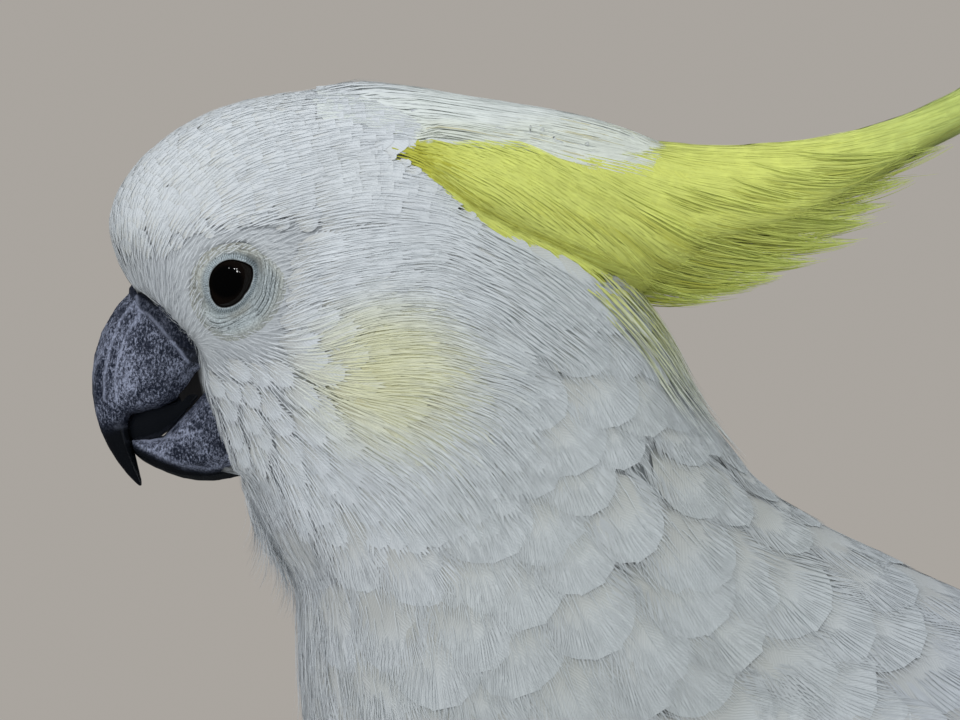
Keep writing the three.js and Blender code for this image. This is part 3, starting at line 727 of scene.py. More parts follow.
skin_surface = surface_of(skin)
CROWN_OUTLINE = [(-32, 3), (-14, 4), (-9, 9), (10, 12), (30, 9), (47, 6), (58, -8), (68, -16), (84, -10),
                 (95, 0), (100, 60), (-32, 60)]
CREST_ROOT = [(33, 30.5), (35, 27.5), (46, 21.5), (52, 15), (60, 9), (70, 4), (82, -1), (96, -9), (104, -16),
              (108, 0), (84, 22), (62, 31)]


def on_crown(points):
    """Forehead and crown, up to where the yellow plumes spring from them."""
    return off_bare_skin(points) & within(points, CROWN_OUTLINE) & ~within(points, CREST_ROOT)


def clear_of_crest(roots, size):
    """Sizes cut short so that nothing rooted outside the root of the crest runs into it."""
    way = coat_lie(*settle(skin_surface, roots))
    for _ in range(4):
        size = np.where(within(roots + way * size[:, None], CREST_ROOT), size * 0.7, size)
    return size


rng = np.random.default_rng(11)
crown_roots = scatter(skin_surface, on_crown, 2.4 * MM, 11)
_, crown_back, crown_up = seen(crown_roots)
crown_grown = blend_at(crown_back - 0.4 * crown_up, -30, 45)
crown_size = np.minimum(mixed(6, 15, crown_grown), 2 + 0.5 * (np.hypot(crown_back, crown_up) - 6)) * MM
crown_size = clear_of_crest(crown_roots, crown_size)
crown_depth = coat_depth(crown_roots)
from_edge = crown_up - np.interp(crown_back, [-14, -9, 10, 30, 47, 58], [4, 9, 12, 9, 6, -8])
from_edge = blend_at(from_edge - 0.25 * crown_size / MM, -2.5, 3.5)
crown_size *= mixed(0.45, 1, from_edge)
crown_line = trails(skin_surface, crown_roots, coat_lie, crown_size, crown_depth * mixed(0.3, 0.62, from_edge),
                    crown_depth * mixed(0.5, 0.92, from_edge), rng, sway=0.06, steps=FEW_STEPS)
crown_tint = marking(crown_roots) * rng.normal(1, 0.004, (len(crown_roots), 1))
crown_bed = vanes(crown_line, crown_size * mixed(0.95, 0.65, crown_grown), crown_roots, crown_tint, rng, teeth=0,
                  camber=0.03, columns=3, steps=FEW_STEPS, under=0.99, softness=0.95, over_skin=skin_surface)
satin_roots = scatter(skin_surface, on_crown, 0.95 * MM, 12)
_, satin_back, satin_up = seen(satin_roots)
satin_size = mixed(3.5, 10, blend_at(satin_back - 0.4 * satin_up, -30, 45)) * rng.uniform(0.8, 1.2, len(satin_roots))
satin_size = clear_of_crest(satin_roots, satin_size * MM)
satin_depth = coat_depth(satin_roots)
satin_line = trails(skin_surface, satin_roots, coat_lie, satin_size, satin_depth * 0.84,
                    satin_depth * rng.uniform(0.935, 0.965, len(satin_roots)), rng, sway=0.07, steps=FEW_STEPS,
                    sunk=0.8)
satin_tint = marking(satin_roots) * rng.normal(1.0, 0.016, (len(satin_roots), 1))
crown_satin = strands(satin_line, rng.uniform(0.3, 0.5, len(satin_roots)) * MM, satin_roots, satin_tint, rng,
                      steps=FEW_STEPS, root_shade=0.99, roll=0.03, softness=0.97)
coat_piece("crown_feathers", crown_bed + crown_satin, white_plumage, "white_plumage")


# ---------------------------------------------------------------- face and cheek feathers
# Bristle-fine feathers of the lores and round the eye, and the long loose ear coverts that fan
# back from the corner of the bill. Their barbs are separate hairs over a bed of small vanes.
FACE_OUTLINE = [(-32, 6), (-14, 8), (-9, 13), (10, 15), (17, 9), (18, -6), (10, -16), (4, -22), (2, -30),
                (-8, -30), (-12, -14), (-22, -4), (-32, -4)]
face_surface = surface_of(whole_head)
bpy.data.objects.remove(whole_head)


def by_bare_skin(points):
    """How near the rim of the eye a place is allowed: right up to it in front and above."""
    _, back, up = seen(points)
    return 0.9 + 0.5 * blend_at(-back + 0.6 * up, 0, 5)


def on_face(points):
    """Lores and round the eye."""
    return off_bare_skin(points, -by_bare_skin(points)) & within(points, FACE_OUTLINE)


def on_cheek(points):
    """Cheek and ear, behind the corner of the bill."""
    return off_bare_skin(points) & within(points, CHEEK_OUTLINE)


face_roots = scatter(face_surface, on_face, 0.8 * MM, 21)
rng = np.random.default_rng(21)
_, face_back, face_up = seen(face_roots)
from_eye = np.hypot(face_back, face_up)
face_size = mixed(2.2, 6.0, blend_at(from_eye, 7, 24)) * rng.uniform(0.8, 1.2, len(face_roots)) * MM
by_ring = (1 - blend_at(from_eye, 8.5, 13)) * MM  # lifted over the edge of the bare ring
face_line = trails(face_surface, face_roots, coat_lie, face_size, 0.2 * MM + 0.45 * by_ring,
                   coat_depth(face_roots) * 0.95 + 0.75 * by_ring, rng, sway=0.2, steps=FEW_STEPS, sunk=0.9)
face_tint = marking(face_roots) * rng.normal(0.97, 0.03, (len(face_roots), 1))
coat_piece("face_bristles", strands(face_line, 0.34 * MM, face_roots, face_tint, rng, steps=FEW_STEPS,
                                    root_shade=0.86, roll=0.3, softness=0.8),
           white_plumage, "white_plumage")

CHEEK_OUTLINE = [(-6, -17), (3, -17), (10, -12), (13, -4), (13, 7), (30, 11), (44, 9), (54, -6), (61, -22),
                 (61, -37), (53, -47), (40, -50), (24, -48), (10, -48), (0, -50), (-8, -36)]
rng = np.random.default_rng(22)
bed_roots = scatter(skin_surface, on_cheek, 3.6 * MM, 22)
bed_depth = coat_depth(bed_roots)
bed_size = mixed(7, 13, blend_at(seen(bed_roots)[1], 0, 30)) * MM
bed_line = trails(skin_surface, bed_roots, coat_lie, bed_size, bed_depth * 0.55, bed_depth * 0.88, rng,
                  steps=FEW_STEPS)
cheek_bed = vanes(bed_line, bed_size * 0.6, bed_roots, marking(bed_roots) * 0.97, rng, teeth=15, tooth=0.3,
                  camber=0.04, columns=3, steps=FEW_STEPS, under=0.9, over_skin=skin_surface)
hair_roots = scatter(skin_surface, on_cheek, 0.88 * MM, 23)
_, hair_back, hair_up = seen(hair_roots)
hair_depth = coat_depth(hair_roots)
hair_size = mixed(5, 16, blend_at(np.hypot(hair_back, hair_up + 20), 4, 34))
hair_size = hair_size * rng.uniform(0.75, 1.25, len(hair_roots)) * MM
hair_low, hair_high = (hair_depth * rng.uniform(*part, len(hair_roots)) for part in ((0.72, 0.86), (0.88, 1.0)))
hair_line = trails(skin_surface, hair_roots, coat_lie, hair_size, hair_low, hair_high, rng, sway=0.12)
hair_tint = marking(hair_roots) * rng.normal(1.12, 0.04, (len(hair_roots), 1))
hair_end = marking(hair_line[0][:, -1]) * hair_tint.mean(axis=1, keepdims=True) / WHITE.mean()
cheek_hair = strands(hair_line, rng.uniform(0.18, 0.32, len(hair_roots)) * MM, hair_roots, hair_tint, rng,
                     root_shade=0.93, roll=0.24, softness=0.87, tip_tint=hair_end)
coat_piece("ear_coverts", cheek_bed + cheek_hair, white_plumage, "white_plumage")


# ---------------------------------------------------------------- neck feathers
# Broad soft feathers of neck, nape and throat, laid like tiles, each with a fringe of free
# barb ends over the next. On the throat the barbs are long and loose.
NOT_HEAD = [(-12, -40), (3, -46), (24, -44), (40, -46), (49, -42), (55, -34), (55, -22), (48, -8), (60, 4),
            (72, -4), (86, 8), (130, 20), (420, 20), (420, -240), (-60, -240)]
WING_FRONT, THIGH_TOP, BACK_START, UNDER_WING = 84, -178, 118, -158  # millimetres from the eye
wing_surfaces = []
for side in ("left", "right"):
    wing_copy = copy_of("wing_" + side, "wing_shape_" + side)
    wing_surfaces.append(surface_of(wing_copy))
    bpy.data.objects.remove(wing_copy)


def on_wing(points, reach=3.6):
    """True on the outer face of either folded wing."""
    near = np.zeros(len(points), dtype=bool)
    for surface in wing_surfaces:
        near |= np.linalg.norm(settle(surface, points)[0] - points, axis=1) < reach * MM
    return near & (seen(points)[1] > WING_FRONT)


def on_thigh(points):
    """The feathered part of the legs."""
    return seen(points)[2] < THIGH_TOP


def body_length(points):
    """Feather length in millimetres: about 26 on the neck, more on the back and flanks."""
    _, back, up = seen(points)
    grown = mixed(20, 29, blend_at(-up, 30, 75))
    grown = mixed(grown, 34, blend_at(back, 110, 170))
    return mixed(grown, 42, blend_at(back, 190, 260))


def on_body(points):
    """Where the broad feathers grow: behind the head, off wings and thighs."""
    return within(points, NOT_HEAD) & off_bare_skin(points) & ~on_wing(points) & ~on_thigh(points)


def broad_feathers(keep, pitch, count, seed, width, low=0.60, high=0.95, under=0.80, shown=0.56,
                   surface=skin_surface, length_of=body_length, slim=1.0):
    """Broad soft feathers. Each is a thin vane, with fine barbs that part from its shaft and run a
    little past its rounded edge, so that each row shows as a soft comb over the next."""
    rng = np.random.default_rng(seed)
    roots = scatter(surface, keep, pitch * MM, seed)
    size = length_of(roots) * rng.uniform(0.88, 1.12, len(roots)) * MM
    broad = size * rng.uniform(0.9, 1.1, len(roots)) * slim
    turn = rng.normal(0, 0.07, len(roots))
    depth = coat_depth(roots)
    top = depth * rng.uniform(high - 0.05, high + 0.03, len(roots))
    line = trails(surface, roots, coat_lie, size * 0.95, depth * low, top, rng, sway=0, aside=turn, curl=-0.4 * MM)
    tint = marking(roots) * rng.normal(1, 0.008, (len(roots), 1))
    made = vanes(line, broad * 0.90, roots, tint, rng, teeth=0, camber=0.012, under=under, softness=0.9, shown=shown,
                 over_skin=surface)
    spot, normal = settle(surface, roots)
    lie = coat_lie(spot, normal)
    beside = np.cross(normal, lie)
    way, side = (lie * np.cos(angle)[:, None] + beside * np.sin(angle)[:, None] for angle in (turn, turn + np.pi / 2))
    around = np.linspace(-1.9, 1.9, count)[None, :] + rng.normal(0, 0.012, (len(roots), count))
    grown = rng.normal(1.05, 0.018, around.shape)
    end_side = np.sin(around) * broad[:, None] * 0.5 * grown
    end_down = size[:, None] * (0.5 + 0.5 * np.cos(around) * grown)
    ahead = size[:, None] * 0.42 * rng.uniform(0.75, 1.1, around.shape)
    across = end_side * 0.40
    start_down = end_down - ahead
    barb_roots = (spot[:, None] + way[:, None] * start_down[..., None]
                  + side[:, None] * (end_side - across)[..., None]).reshape(-1, 3)
    first, last = (np.clip(place / size[:, None], 0, 1.1).ravel() for place in (start_down, end_down))
    drop = 0.010 * np.repeat(broad, count) * np.sin(around.ravel()) ** 2
    foot, tip = (mixed(np.repeat(depth * low, count), np.repeat(top, count), rise ** 0.85) - fall
                 for rise, fall in ((first, 0.5 * drop - 0.05 * MM), (last, drop + (0.33 * last ** 3 - 0.10) * MM)))
    tip = tip + rng.normal(0, 0.03, len(tip)) * MM
    barb_line = trails(surface, barb_roots, coat_lie, np.hypot(across, ahead).ravel(), foot, tip, rng, sway=0.015,
                       steps=FEW_STEPS, keep_way=0.85, aside=np.arctan2(across, ahead).ravel(), sunk=0.95)
    barb_tint = np.repeat(tint, count, axis=0) * rng.normal(1, 0.012, (len(barb_roots), 1))
    # The barbs take the painted shade of the part of the feather they lie over.
    root_tint, end_tint = (barb_tint * (row_shade(rise, under + 0.01, shown)[:, None] + 0.01)
                           for rise in (first, last))
    made += strands(barb_line, rng.uniform(0.8, 1.2, len(barb_roots)) * width * MM, barb_roots, root_tint, rng,
                    steps=FEW_STEPS, root_shade=1.0, roll=0.05, softness=0.95, tip_tint=end_tint)
    return made


def fore(points):
    """Neck, breast and shoulders, ahead of the back."""
    _, back, up = seen(points)
    return on_body(points) & (back < BACK_START + 0.2 * up)


def on_back(points):
    """Back, rump and belly, without the crease under the lower edge of each wing."""
    return on_body(points) & ~fore(points) & ~(on_wing(points, 7.5) & (seen(points)[2] < UNDER_WING))


for name, sign, seed in (("neck_feathers_left", 1, 37), ("neck_feathers_right", -1, 38)):
    coat_piece(name, broad_feathers(lambda p: fore(p) & (p[:, 0] * sign > 0), 8.8, 104, seed, 0.36),
               white_plumage, "white_plumage")
coat_piece("back_feathers", broad_feathers(on_back, 10.5, 84, 39, 0.5), white_plumage, "white_plumage")

# Finer barbs that stray over the edges of the broad feathers and close the coat.
for name, sign, seed in (("stray_barbs_left", 1, 34), ("stray_barbs_right", -1, 35)):
    rng = np.random.default_rng(seed)
    stray_roots = scatter(skin_surface, lambda p: fore(p) & (p[:, 0] * sign > 0), 2.1 * MM, seed)
    stray_depth = coat_depth(stray_roots)
    stray_line = trails(skin_surface, stray_roots, coat_lie, rng.uniform(6, 13, len(stray_roots)) * MM,
                        stray_depth * 0.74, stray_depth * rng.uniform(0.82, 0.93, len(stray_roots)), rng, sway=0.10,
                        steps=FEW_STEPS)
    stray_tint = marking(stray_roots) * rng.normal(1, 0.012, (len(stray_roots), 1))
    coat_piece(name, strands(stray_line, rng.uniform(0.18, 0.34, len(stray_roots)) * MM, stray_roots, stray_tint, rng,
                             steps=FEW_STEPS, root_shade=0.97, roll=0.08, softness=0.95),
               white_plumage, "white_plumage")

# Loose barbs of the throat, longer than the feathers they lie on, some of them lifted clear.
THROAT_OUTLINE = [(-6, -36), (10, -40), (22, -48), (26, -66), (24, -86), (8, -92), (-6, -80)]
rng = np.random.default_rng(33)
loose_roots = scatter(skin_surface, lambda p: off_bare_skin(p) & within(p, THROAT_OUTLINE), 2.2 * MM, 33)
loose_depth = coat_depth(loose_roots)
loose_size = rng.uniform(10, 21, len(loose_roots)) * MM
loose_up = seen(loose_roots)[2]
loose_curl = (rng.random(len(loose_roots)) < 0.2) * rng.uniform(0.6, 3.2, len(loose_roots))
loose_curl = loose_curl * blend_at(-loose_up, 44, 52)
loose_line = trails(skin_surface, loose_roots, coat_lie, loose_size, loose_depth * 0.8, loose_depth * 1.06, rng,
                    sway=0.17, curl=loose_curl * MM)
loose_barbs = strands(loose_line, rng.uniform(0.16, 0.30, len(loose_roots)) * MM, loose_roots,
                      marking(loose_roots) * 1.05, rng, root_shade=0.95, roll=0.25, softness=0.85)


# The ruffled tuft under the chin.
TUFT_OUTLINE = [(4, -43), (14, -42), (18, -52), (18, -62), (10, -62), (6, -52)]


def on_tuft(points):
    """Near the middle of the throat."""
    return off_bare_skin(points) & within(points, TUFT_OUTLINE) & (seen(points)[0] < 11)


tuft_roots = scatter(skin_surface, on_tuft, 0.8 * MM, 36)
tuft_line = trails(skin_surface, tuft_roots, coat_lie, rng.uniform(8, 14, len(tuft_roots)) * MM, 2.2 * MM, 3.2 * MM,
                   rng, sway=0.25, curl=rng.uniform(0.0, 6.0, len(tuft_roots)) * MM, free=0.5)
tuft = strands(tuft_line, rng.uniform(0.16, 0.28, len(tuft_roots)) * MM, tuft_roots, marking(tuft_roots) * 1.05, rng,
               root_shade=0.92, roll=0.4, softness=0.7)
coat_piece("throat_barbs", loose_barbs + tuft, white_plumage, "white_plumage")


# ---------------------------------------------------------------- thigh feathers
# Soft trousers of small feathers that hang over the top of each shank.
rng = np.random.default_rng(35)
thigh_roots = scatter(skin_surface, on_thigh, 5.4 * MM, 35)
thigh_line = trails(skin_surface, thigh_roots, coat_lie, 19 * MM, 1.2 * MM, 3.4 * MM, rng, sway=0.12,
                    steps=FEW_STEPS, free=0.7)
LEG_AXIS = ((118, -150), (136, -215))
coat_piece("thigh_feathers", vanes(thigh_line, 12 * MM, thigh_roots, marking(thigh_roots) * 0.97, rng, teeth=20,
                                   tooth=0.16, camber=0.08, columns=3, steps=FEW_STEPS, axis=LEG_AXIS),
           white_plumage, "white_plumage")


# ---------------------------------------------------------------- wings
# Each folded wing: rows of coverts, short at the shoulder and longer behind, over the long
# tertials, secondaries and primaries, which have a stiff shaft and a firm edge.
quill_shapes = [copy_of("wing_quills_" + side, "quill_shape_" + side) for side in ("left", "right")]
quill_surfaces = [surface_of(shape) for shape in quill_shapes]
folded = placed("folded_skin", skin.data.copy())
folded.data.materials.clear()
merged([folded, *quill_shapes], "folded_wings")
rounded_off(folded, 2.0, 10)
folded_surface = surface_of(folded)  # skin and quills as one, for the coverts that cross their join
bpy.data.objects.remove(folded)


def outer_wing(points):
    """The wing's outer face, but not the turned-under part of its lower edge."""
    return on_wing(points, 4.2) & (settle(folded_surface, points)[1][:, 2] > -0.30)


def covert_length(points):
    """Length of the wing coverts in millimetres, short at the shoulder."""
    _, back, up = seen(points)
    return mixed(19, 40, blend_at(back - 0.25 * up, 120, 215))


def stiff_quills(spots, normals, width, rng, steps, **shape):
    """Quill feathers along lines: a shaft that shows, and a firm edge."""
    tint = marking(spots[:, 0]) * rng.normal(1, 0.01, (len(spots), 1))
    line = lines_of(spots, normals)[:3]
    return vanes((*line, line[1]), width * MM, spots[:, 0], tint, rng, columns=7, steps=steps, shown=0.3,
                 softness=0.2, **shape)


QUILL_STEPS = np.linspace(0, 1, 15)
# The two layers of quills, primaries under secondaries: how many, which part of the fan they
# fill, how high they lie, their width, and in millimetres back and down the first and last tip.
QUILL_LAYERS = ((9, (0.42, 0.98), 0.2, 17, (335, 388), (-176, -206), 1.0),
                (11, (0.03, 0.9), 1.6, 23, (276, 340), (-136, -196), 0.8))
for number, (side, sign) in enumerate((("left", 1), ("right", -1))):
    rng = np.random.default_rng(41 + number)
    coat_piece("wing_coverts_" + side,
               broad_feathers(lambda p: outer_wing(p) & (p[:, 0] * sign > 0), 8.0, 60, 43 + number, 0.5, low=0.5,
                              surface=folded_surface, length_of=covert_length, slim=0.75),
               white_plumage, "white_plumage")
    quill_tree = quill_surfaces[number]["tree"]
    quill_batches = []
    for layer, (count, fan, height, width, tip_back, tip_up, crowded) in enumerate(QUILL_LAYERS):
        v = np.linspace(*fan, count)
        roots = np.stack([mixed(196, 214, v), mixed(-98, -178, v)], axis=1)
        tips = np.stack([mixed(*tip_back, v ** crowded), mixed(*tip_up, v)], axis=1)
        path = mixed(roots[:, None, :], tips[:, None, :], QUILL_STEPS[None, :, None])
        spots = np.stack([np.full(path.shape[:2], sign * 60 * MM), EYE[1] + path[..., 0] * MM,
                          EYE[2] + path[..., 1] * MM], axis=-1)
        flat = spots.reshape(-1, 3)
        for i, point in enumerate(flat.tolist()):
            hit = quill_tree.ray_cast(point, (-sign, 0, 0))[0]
            flat[i, 0] = (hit or quill_tree.find_nearest((sign * 14 * MM, point[1], point[2]))[0])[0]
        for _ in range(3):
            spots[:, 1:-1, 0] = (spots[:, :-2, 0] + spots[:, 1:-1, 0] + spots[:, 2:, 0]) / 3
        stack = (height + 1.1 * (1 - v)) * MM
        spots[..., 0] += sign * stack[:, None] * (1 - 0.6 * QUILL_STEPS)[None, :]
        top_most = layer * (1 - v[:, None]) ** 4
        sink = (3.2 + 5.5 * top_most) * (1 - blend_at(QUILL_STEPS[None, :] / (0.16 + 0.40 * top_most), 0, 1))
        spots[..., 0] -= sign * sink * MM  # roots under the coverts
        spots[..., 2] -= 2.5 * top_most * (sink > 0) * MM
        normals = np.zeros_like(spots)
        normals[..., 0] = sign
        normals[..., 2] = (0.25 + 1.2 * layer * (1 - v) ** 3)[:, None]
        quill_batches += stiff_quills(spots, normals, width, rng, QUILL_STEPS, teeth=36, tooth=0.02, camber=0.05,
                                      tip_from=0.78, root_width=0.7, shaft=0.35 * MM, under=0.85, blunt=0.35)
    coat_piece("wing_quill_feathers_" + side, quill_batches, white_plumage, "white_plumage", "wing_quills_" + side)


# ---------------------------------------------------------------- tail
# Twelve broad quill feathers in a shallow fan, the middle pair on top, with coverts above and
# below that hide their roots.
rng = np.random.default_rng(51)
TAIL_TOP = np.array([(222, -128), (262, -146), (296, -162.5), (340, -184.5), (384, -204.5), (420, -220),
                     (439, -228.5)])
TAIL_LOW = np.array([(222, -150), (262, -158), (296, -169), (340, -188), (384, -207), (420, -222), (439, -229.5)])
TAIL_STEPS = np.linspace(0, 1, 17)


def tail_layer(count, line, start, end, half_start, half_end, drop, width, facing, rise, tooth):
    """Feathers side by side in a fan along a line, from start to end (in mm back)."""
    across = np.linspace(-1, 1, count)
    across = across[np.argsort(-np.abs(across))]
    reach = end - 6 * np.abs(across)
    back = start + (reach[:, None] - start) * TAIL_STEPS[None, :]
    up = np.interp(back, line[:, 0], line[:, 1]) + facing * rise * (1 - np.abs(across))[:, None]
    half = mixed(half_start, half_end, (back - start) / (end - start))
    spots = np.stack([across[:, None] * half * MM, EYE[1] + back * MM,
                      EYE[2] + (up - drop * (across ** 2)[:, None] * TAIL_STEPS) * MM], axis=-1)
    normals = np.zeros_like(spots)
    normals[..., 2] = facing
    normals[..., 0] = across[:, None] * 0.25
    return stiff_quills(spots, normals, width, rng, TAIL_STEPS, teeth=30, tooth=tooth, camber=0.03, tip_from=0.8,
                        root_width=0.6, shaft=0.4 * MM, under=0.86, blunt=0.4)


tail_batches = (tail_layer(12, TAIL_TOP, 236, 438, 10, 18, 1.6, 17, 1, 1.4, 0.03)
                + tail_layer(9, TAIL_TOP + (0, 1.2), 214, 318, 12, 15, 1.0, 20, 1, 1.2, 0.06)
                + tail_layer(9, TAIL_LOW, 214, 330, 12, 14, 0.6, 19, -1, 1.0, 0.08))
coat_piece("tail_feathers", tail_batches, white_plumage, "white_plumage", "tail")


# ---------------------------------------------------------------- crest cap
# The white front plumes of the crest, laid flat over the yellow ones: long, smooth, with a
# bright rolled edge on top and a few loose barbs low down.
CREST_LIE = np.array([(x, y, dx, -dy) for x, y, dx, dy in (
    (38, 28.8, 0.93, 0.30), (49, 22, 0.82, 0.55), (60, 15.3, 0.80, 0.6), (74, 6.3, 0.80, 0.6),
    (87.4, -0.5, 0.78, 0.62), (56, 26.5, 0.93, 0.32), (71.7, 22, 0.9, 0.42), (83, 12, 0.87, 0.48),
    (94, 6.3, 0.88, 0.45), (74, 26.5, 0.97, 0.2), (92, 23, 0.96, 0.24), (101, 14, 0.95, 0.3),
    (110, 8.5, 0.98, 0.15), (119, 4.7, 0.99, 0.05), (105, 27.6, 0.995, 0.08), (119, 27.6, 1, 0.0),
    (110, 20, 0.98, 0.2), (123, 18.6, 1, 0.05), (123, 13, 1, 0.0), (132, 23, 1, -0.06),
    (134.6, 30, 0.98, -0.16), (139, 18.6, 0.97, -0.22), (146, 25.4, 0.95, -0.3), (146, 32, 0.95, -0.28),
    (155, 34.4, 0.93, -0.36), (161.6, 39, 0.9, -0.42), (164, 34.4, 0.88, -0.46), (176, 52, 0.8, -0.6),
    (187, 63, 0.74, -0.67), (92, 4.7, 0.7, 0.7), (97.5, -4, 0.55, 0.83), (101, -10.6, 0.4, 0.9))], float)
crest_lie = lie_of(CREST_LIE)
CAP_LIE = np.array([(19, 44, 1, 0), (44, 43.6, 1, -0.04), (62, 41, 0.99, -0.12), (78, 38, 0.97, -0.22),
                    (93, 33, 0.94, -0.32), (40, 31, 0.98, -0.16), (60, 29, 1, -0.05), (80, 29, 1, 0.03),
                    (30, 36, 0.98, -0.12), (50, 35, 0.98, -0.15), (70, 34, 0.99, -0.1)], float)
cap_lie = lie_of(CAP_LIE)


def off_skin(points):
    """Millimetres from the skin."""
    return np.linalg.norm(settle(skin_surface, points)[0] - points, axis=1) / MM


def plume_bed(node, name, voxel, smooth, inset):
    """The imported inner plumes: a rounded copy of the node, a little inside it, that swells to
    meet the skin it springs from."""
    bed = copy_of(node, name)
    rounded_off(bed, voxel, smooth)
    spots = places(bed.data)
    swell = mixed(mixed(3.2, 0.6, blend_at(seen(spots)[2], 20, 30)), -inset, blend_at(off_skin(spots), 1.0, 8.0))
    put(bed.data, spots + vertex_normals(bed.data) * swell[:, None] * MM)
    return bed


cap_bed = plume_bed("crest_cap", "crest_cap_bed", 0.8, 8, 0.35)
# The bed is painted a tenth darker than the white: painted shade under the cap's barbs.
paint(cap_bed.data, np.broadcast_to(WHITE * 0.9, (len(cap_bed.data.vertices), 3)))
cap_bed.data.uv_layers.new(name="Vane")
cap_bed.data.materials.append(white_plumage)
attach(cap_bed, "root")
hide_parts("crest_cap")
CAP_WHITE = np.array([0.80, 0.84, 0.80])
CAP_SIDE = [(30, 31.5), (47, 30.3), (56, 28.8), (74, 28.1), (87.4, 28.3), (93, 30.5), (95.5, 32.4), (95.5, 55),
            (30, 55)]


# ---------------------------------------------------------------- yellow crest
# The long yellow plumes: soft and hair-like near their roots, where the barbs sweep back and
# down in loose locks, and closed to smooth blades along the upturned tips.
yellow_plumage = plumage_material("yellow_plumage", 0.7, 0.10, 0.4, Roughness=0.62, Sheen_Weight=0.2,
                                  Sheen_Roughness=0.5, Specular_IOR_Level=0.3)
crest_bed = plume_bed("crest_plumes", "crest_bed", 1.0, 12, 0.8)
CREST_UNDERSIDE = ([94.8, 107, 127.4, 147.9, 163.8], [-0.4, 2.9, 8.1, 19.3, 30.1])
bed_spots = places(crest_bed.data)
_, bed_back, bed_up = seen(bed_spots)
near_edge = 1 - blend_at(bed_up - np.interp(bed_back, *CREST_UNDERSIDE), 0, 10)
bed_spots[:, 2] += 4.2 * MM * near_edge * blend_at(bed_back, 98, 108) * (1 - blend_at(bed_back, 150, 168))
put(crest_bed.data, bed_spots)
crest_surface = surface_of(crest_bed)
CREST_BRIGHT = np.array([0.84, 0.90, 0.21])
CREST_DEEP = np.array([0.50, 0.49, 0.03])
CREST_TIP = np.array([0.66, 0.78, 0.21])


def crest_colour(points, deep):
    """Yellow that is deepest at the roots, deeper low down (partly the plumes' own colour, partly painted shade on
    their lower edge), greener and paler to the tips.
    """
    _, back, up = seen(points)
    colour = mixed(CREST_BRIGHT, CREST_TIP, blend_at(back, 110, 165)[:, None])
    # Deeper at the roots, the plumes' own colour; and deeper low down, partly their own colour and partly painted
    # shade.
    root = blend_at(-back, -52, -36) * 0.75 + 0.35 * blend_at(14 - up - 0.12 * np.abs(back - 120), 0, 14)
    return mixed(colour, CREST_DEEP, np.clip(root + deep, 0, 1)[:, None])


# The bed is painted a tenth darker, and a deeper yellow, than the barbs over it: painted shade under them.
bed_white = within(places(crest_bed.data), CAP_SIDE)[:, None] * 1.0
paint(crest_bed.data, mixed(crest_colour(places(crest_bed.data), 0.25) * 0.9, CAP_WHITE * 0.9, bed_white))
crest_bed.data.uv_layers.new(name="Vane")
crest_bed.data.materials.append(yellow_plumage)
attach(crest_bed, "root")
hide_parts("crest_plumes")

# The sheet of down that closes the crest: one rounded surface over head, cap and crest
# together, cut to an outline. It shows between the plumes that cross their joins.
joined = [placed("joined_" + piece.name, piece.data.copy()) for piece in (skin, cap_bed, crest_bed)]
for piece in joined:
    piece.data.materials.clear()
crest_sheet = merged(joined, "crest_sheet")
rounded_off(crest_sheet, 1.4, 9)
joined_surface = surface_of(crest_sheet)
CAP_OUTLINE = [(8, 60), (8, 36), (22, 33.5), (32, 31.8), (47, 30.6), (56, 29.0), (74, 28.4), (87.4, 28.6),
               (92, 31), (96, 33), (98, 34.5), (98, 60)]
CREST_ZONE = [(34, 32), (36, 27.5), (46, 21), (52, 14.5), (60, 8.5), (70, 3), (79, -1), (79, 40), (34, 40)]
SHEET_OUTLINE = [(18, 60), (18, 35), (30, 33), (36, 31), (39, 28.5), (48, 22.5), (54, 16), (62, 10), (71, 5), (80, 2),
                 (95, 6), (108, 10), (130, 18), (146, 26), (146, 60)]


def cap_height(gap):
    """How high the cap's barbs lie, in millimetres: lower where the cap stands off the skin."""
    return np.clip(1.9 - 0.8 * gap, 0.42, 1.9)


spots = places(crest_sheet.data)
on_cap = within(spots, CAP_OUTLINE)
sheet_lift = np.where(on_cap, cap_height(off_skin(spots)) - 0.12, np.where(within(spots, CREST_ROOT), 1.42, 0.45))
# The sheet is painted a little darker, and a deeper yellow, than the barbs over it: painted shade beneath them.
paint(crest_sheet.data, mixed(crest_colour(spots, 0.2) * 0.93, CAP_WHITE * 0.96, on_cap[:, None] * 1.0))
put(crest_sheet.data, spots + vertex_normals(crest_sheet.data) * sheet_lift[:, None] * MM)
crest_sheet.data.vertices.foreach_set("select", ~within(spots, SHEET_OUTLINE))
only(crest_sheet)
bpy.ops.object.mode_set(mode="EDIT")
bpy.ops.mesh.delete(type="VERT")
bpy.ops.object.mode_set(mode="OBJECT")
finish_with(crest_sheet, "SMOOTH", factor=0.5, iterations=4)
crest_sheet.data.uv_layers.new(name="Vane")
crest_sheet.data.materials.append(yellow_plumage)
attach(crest_sheet, "root")

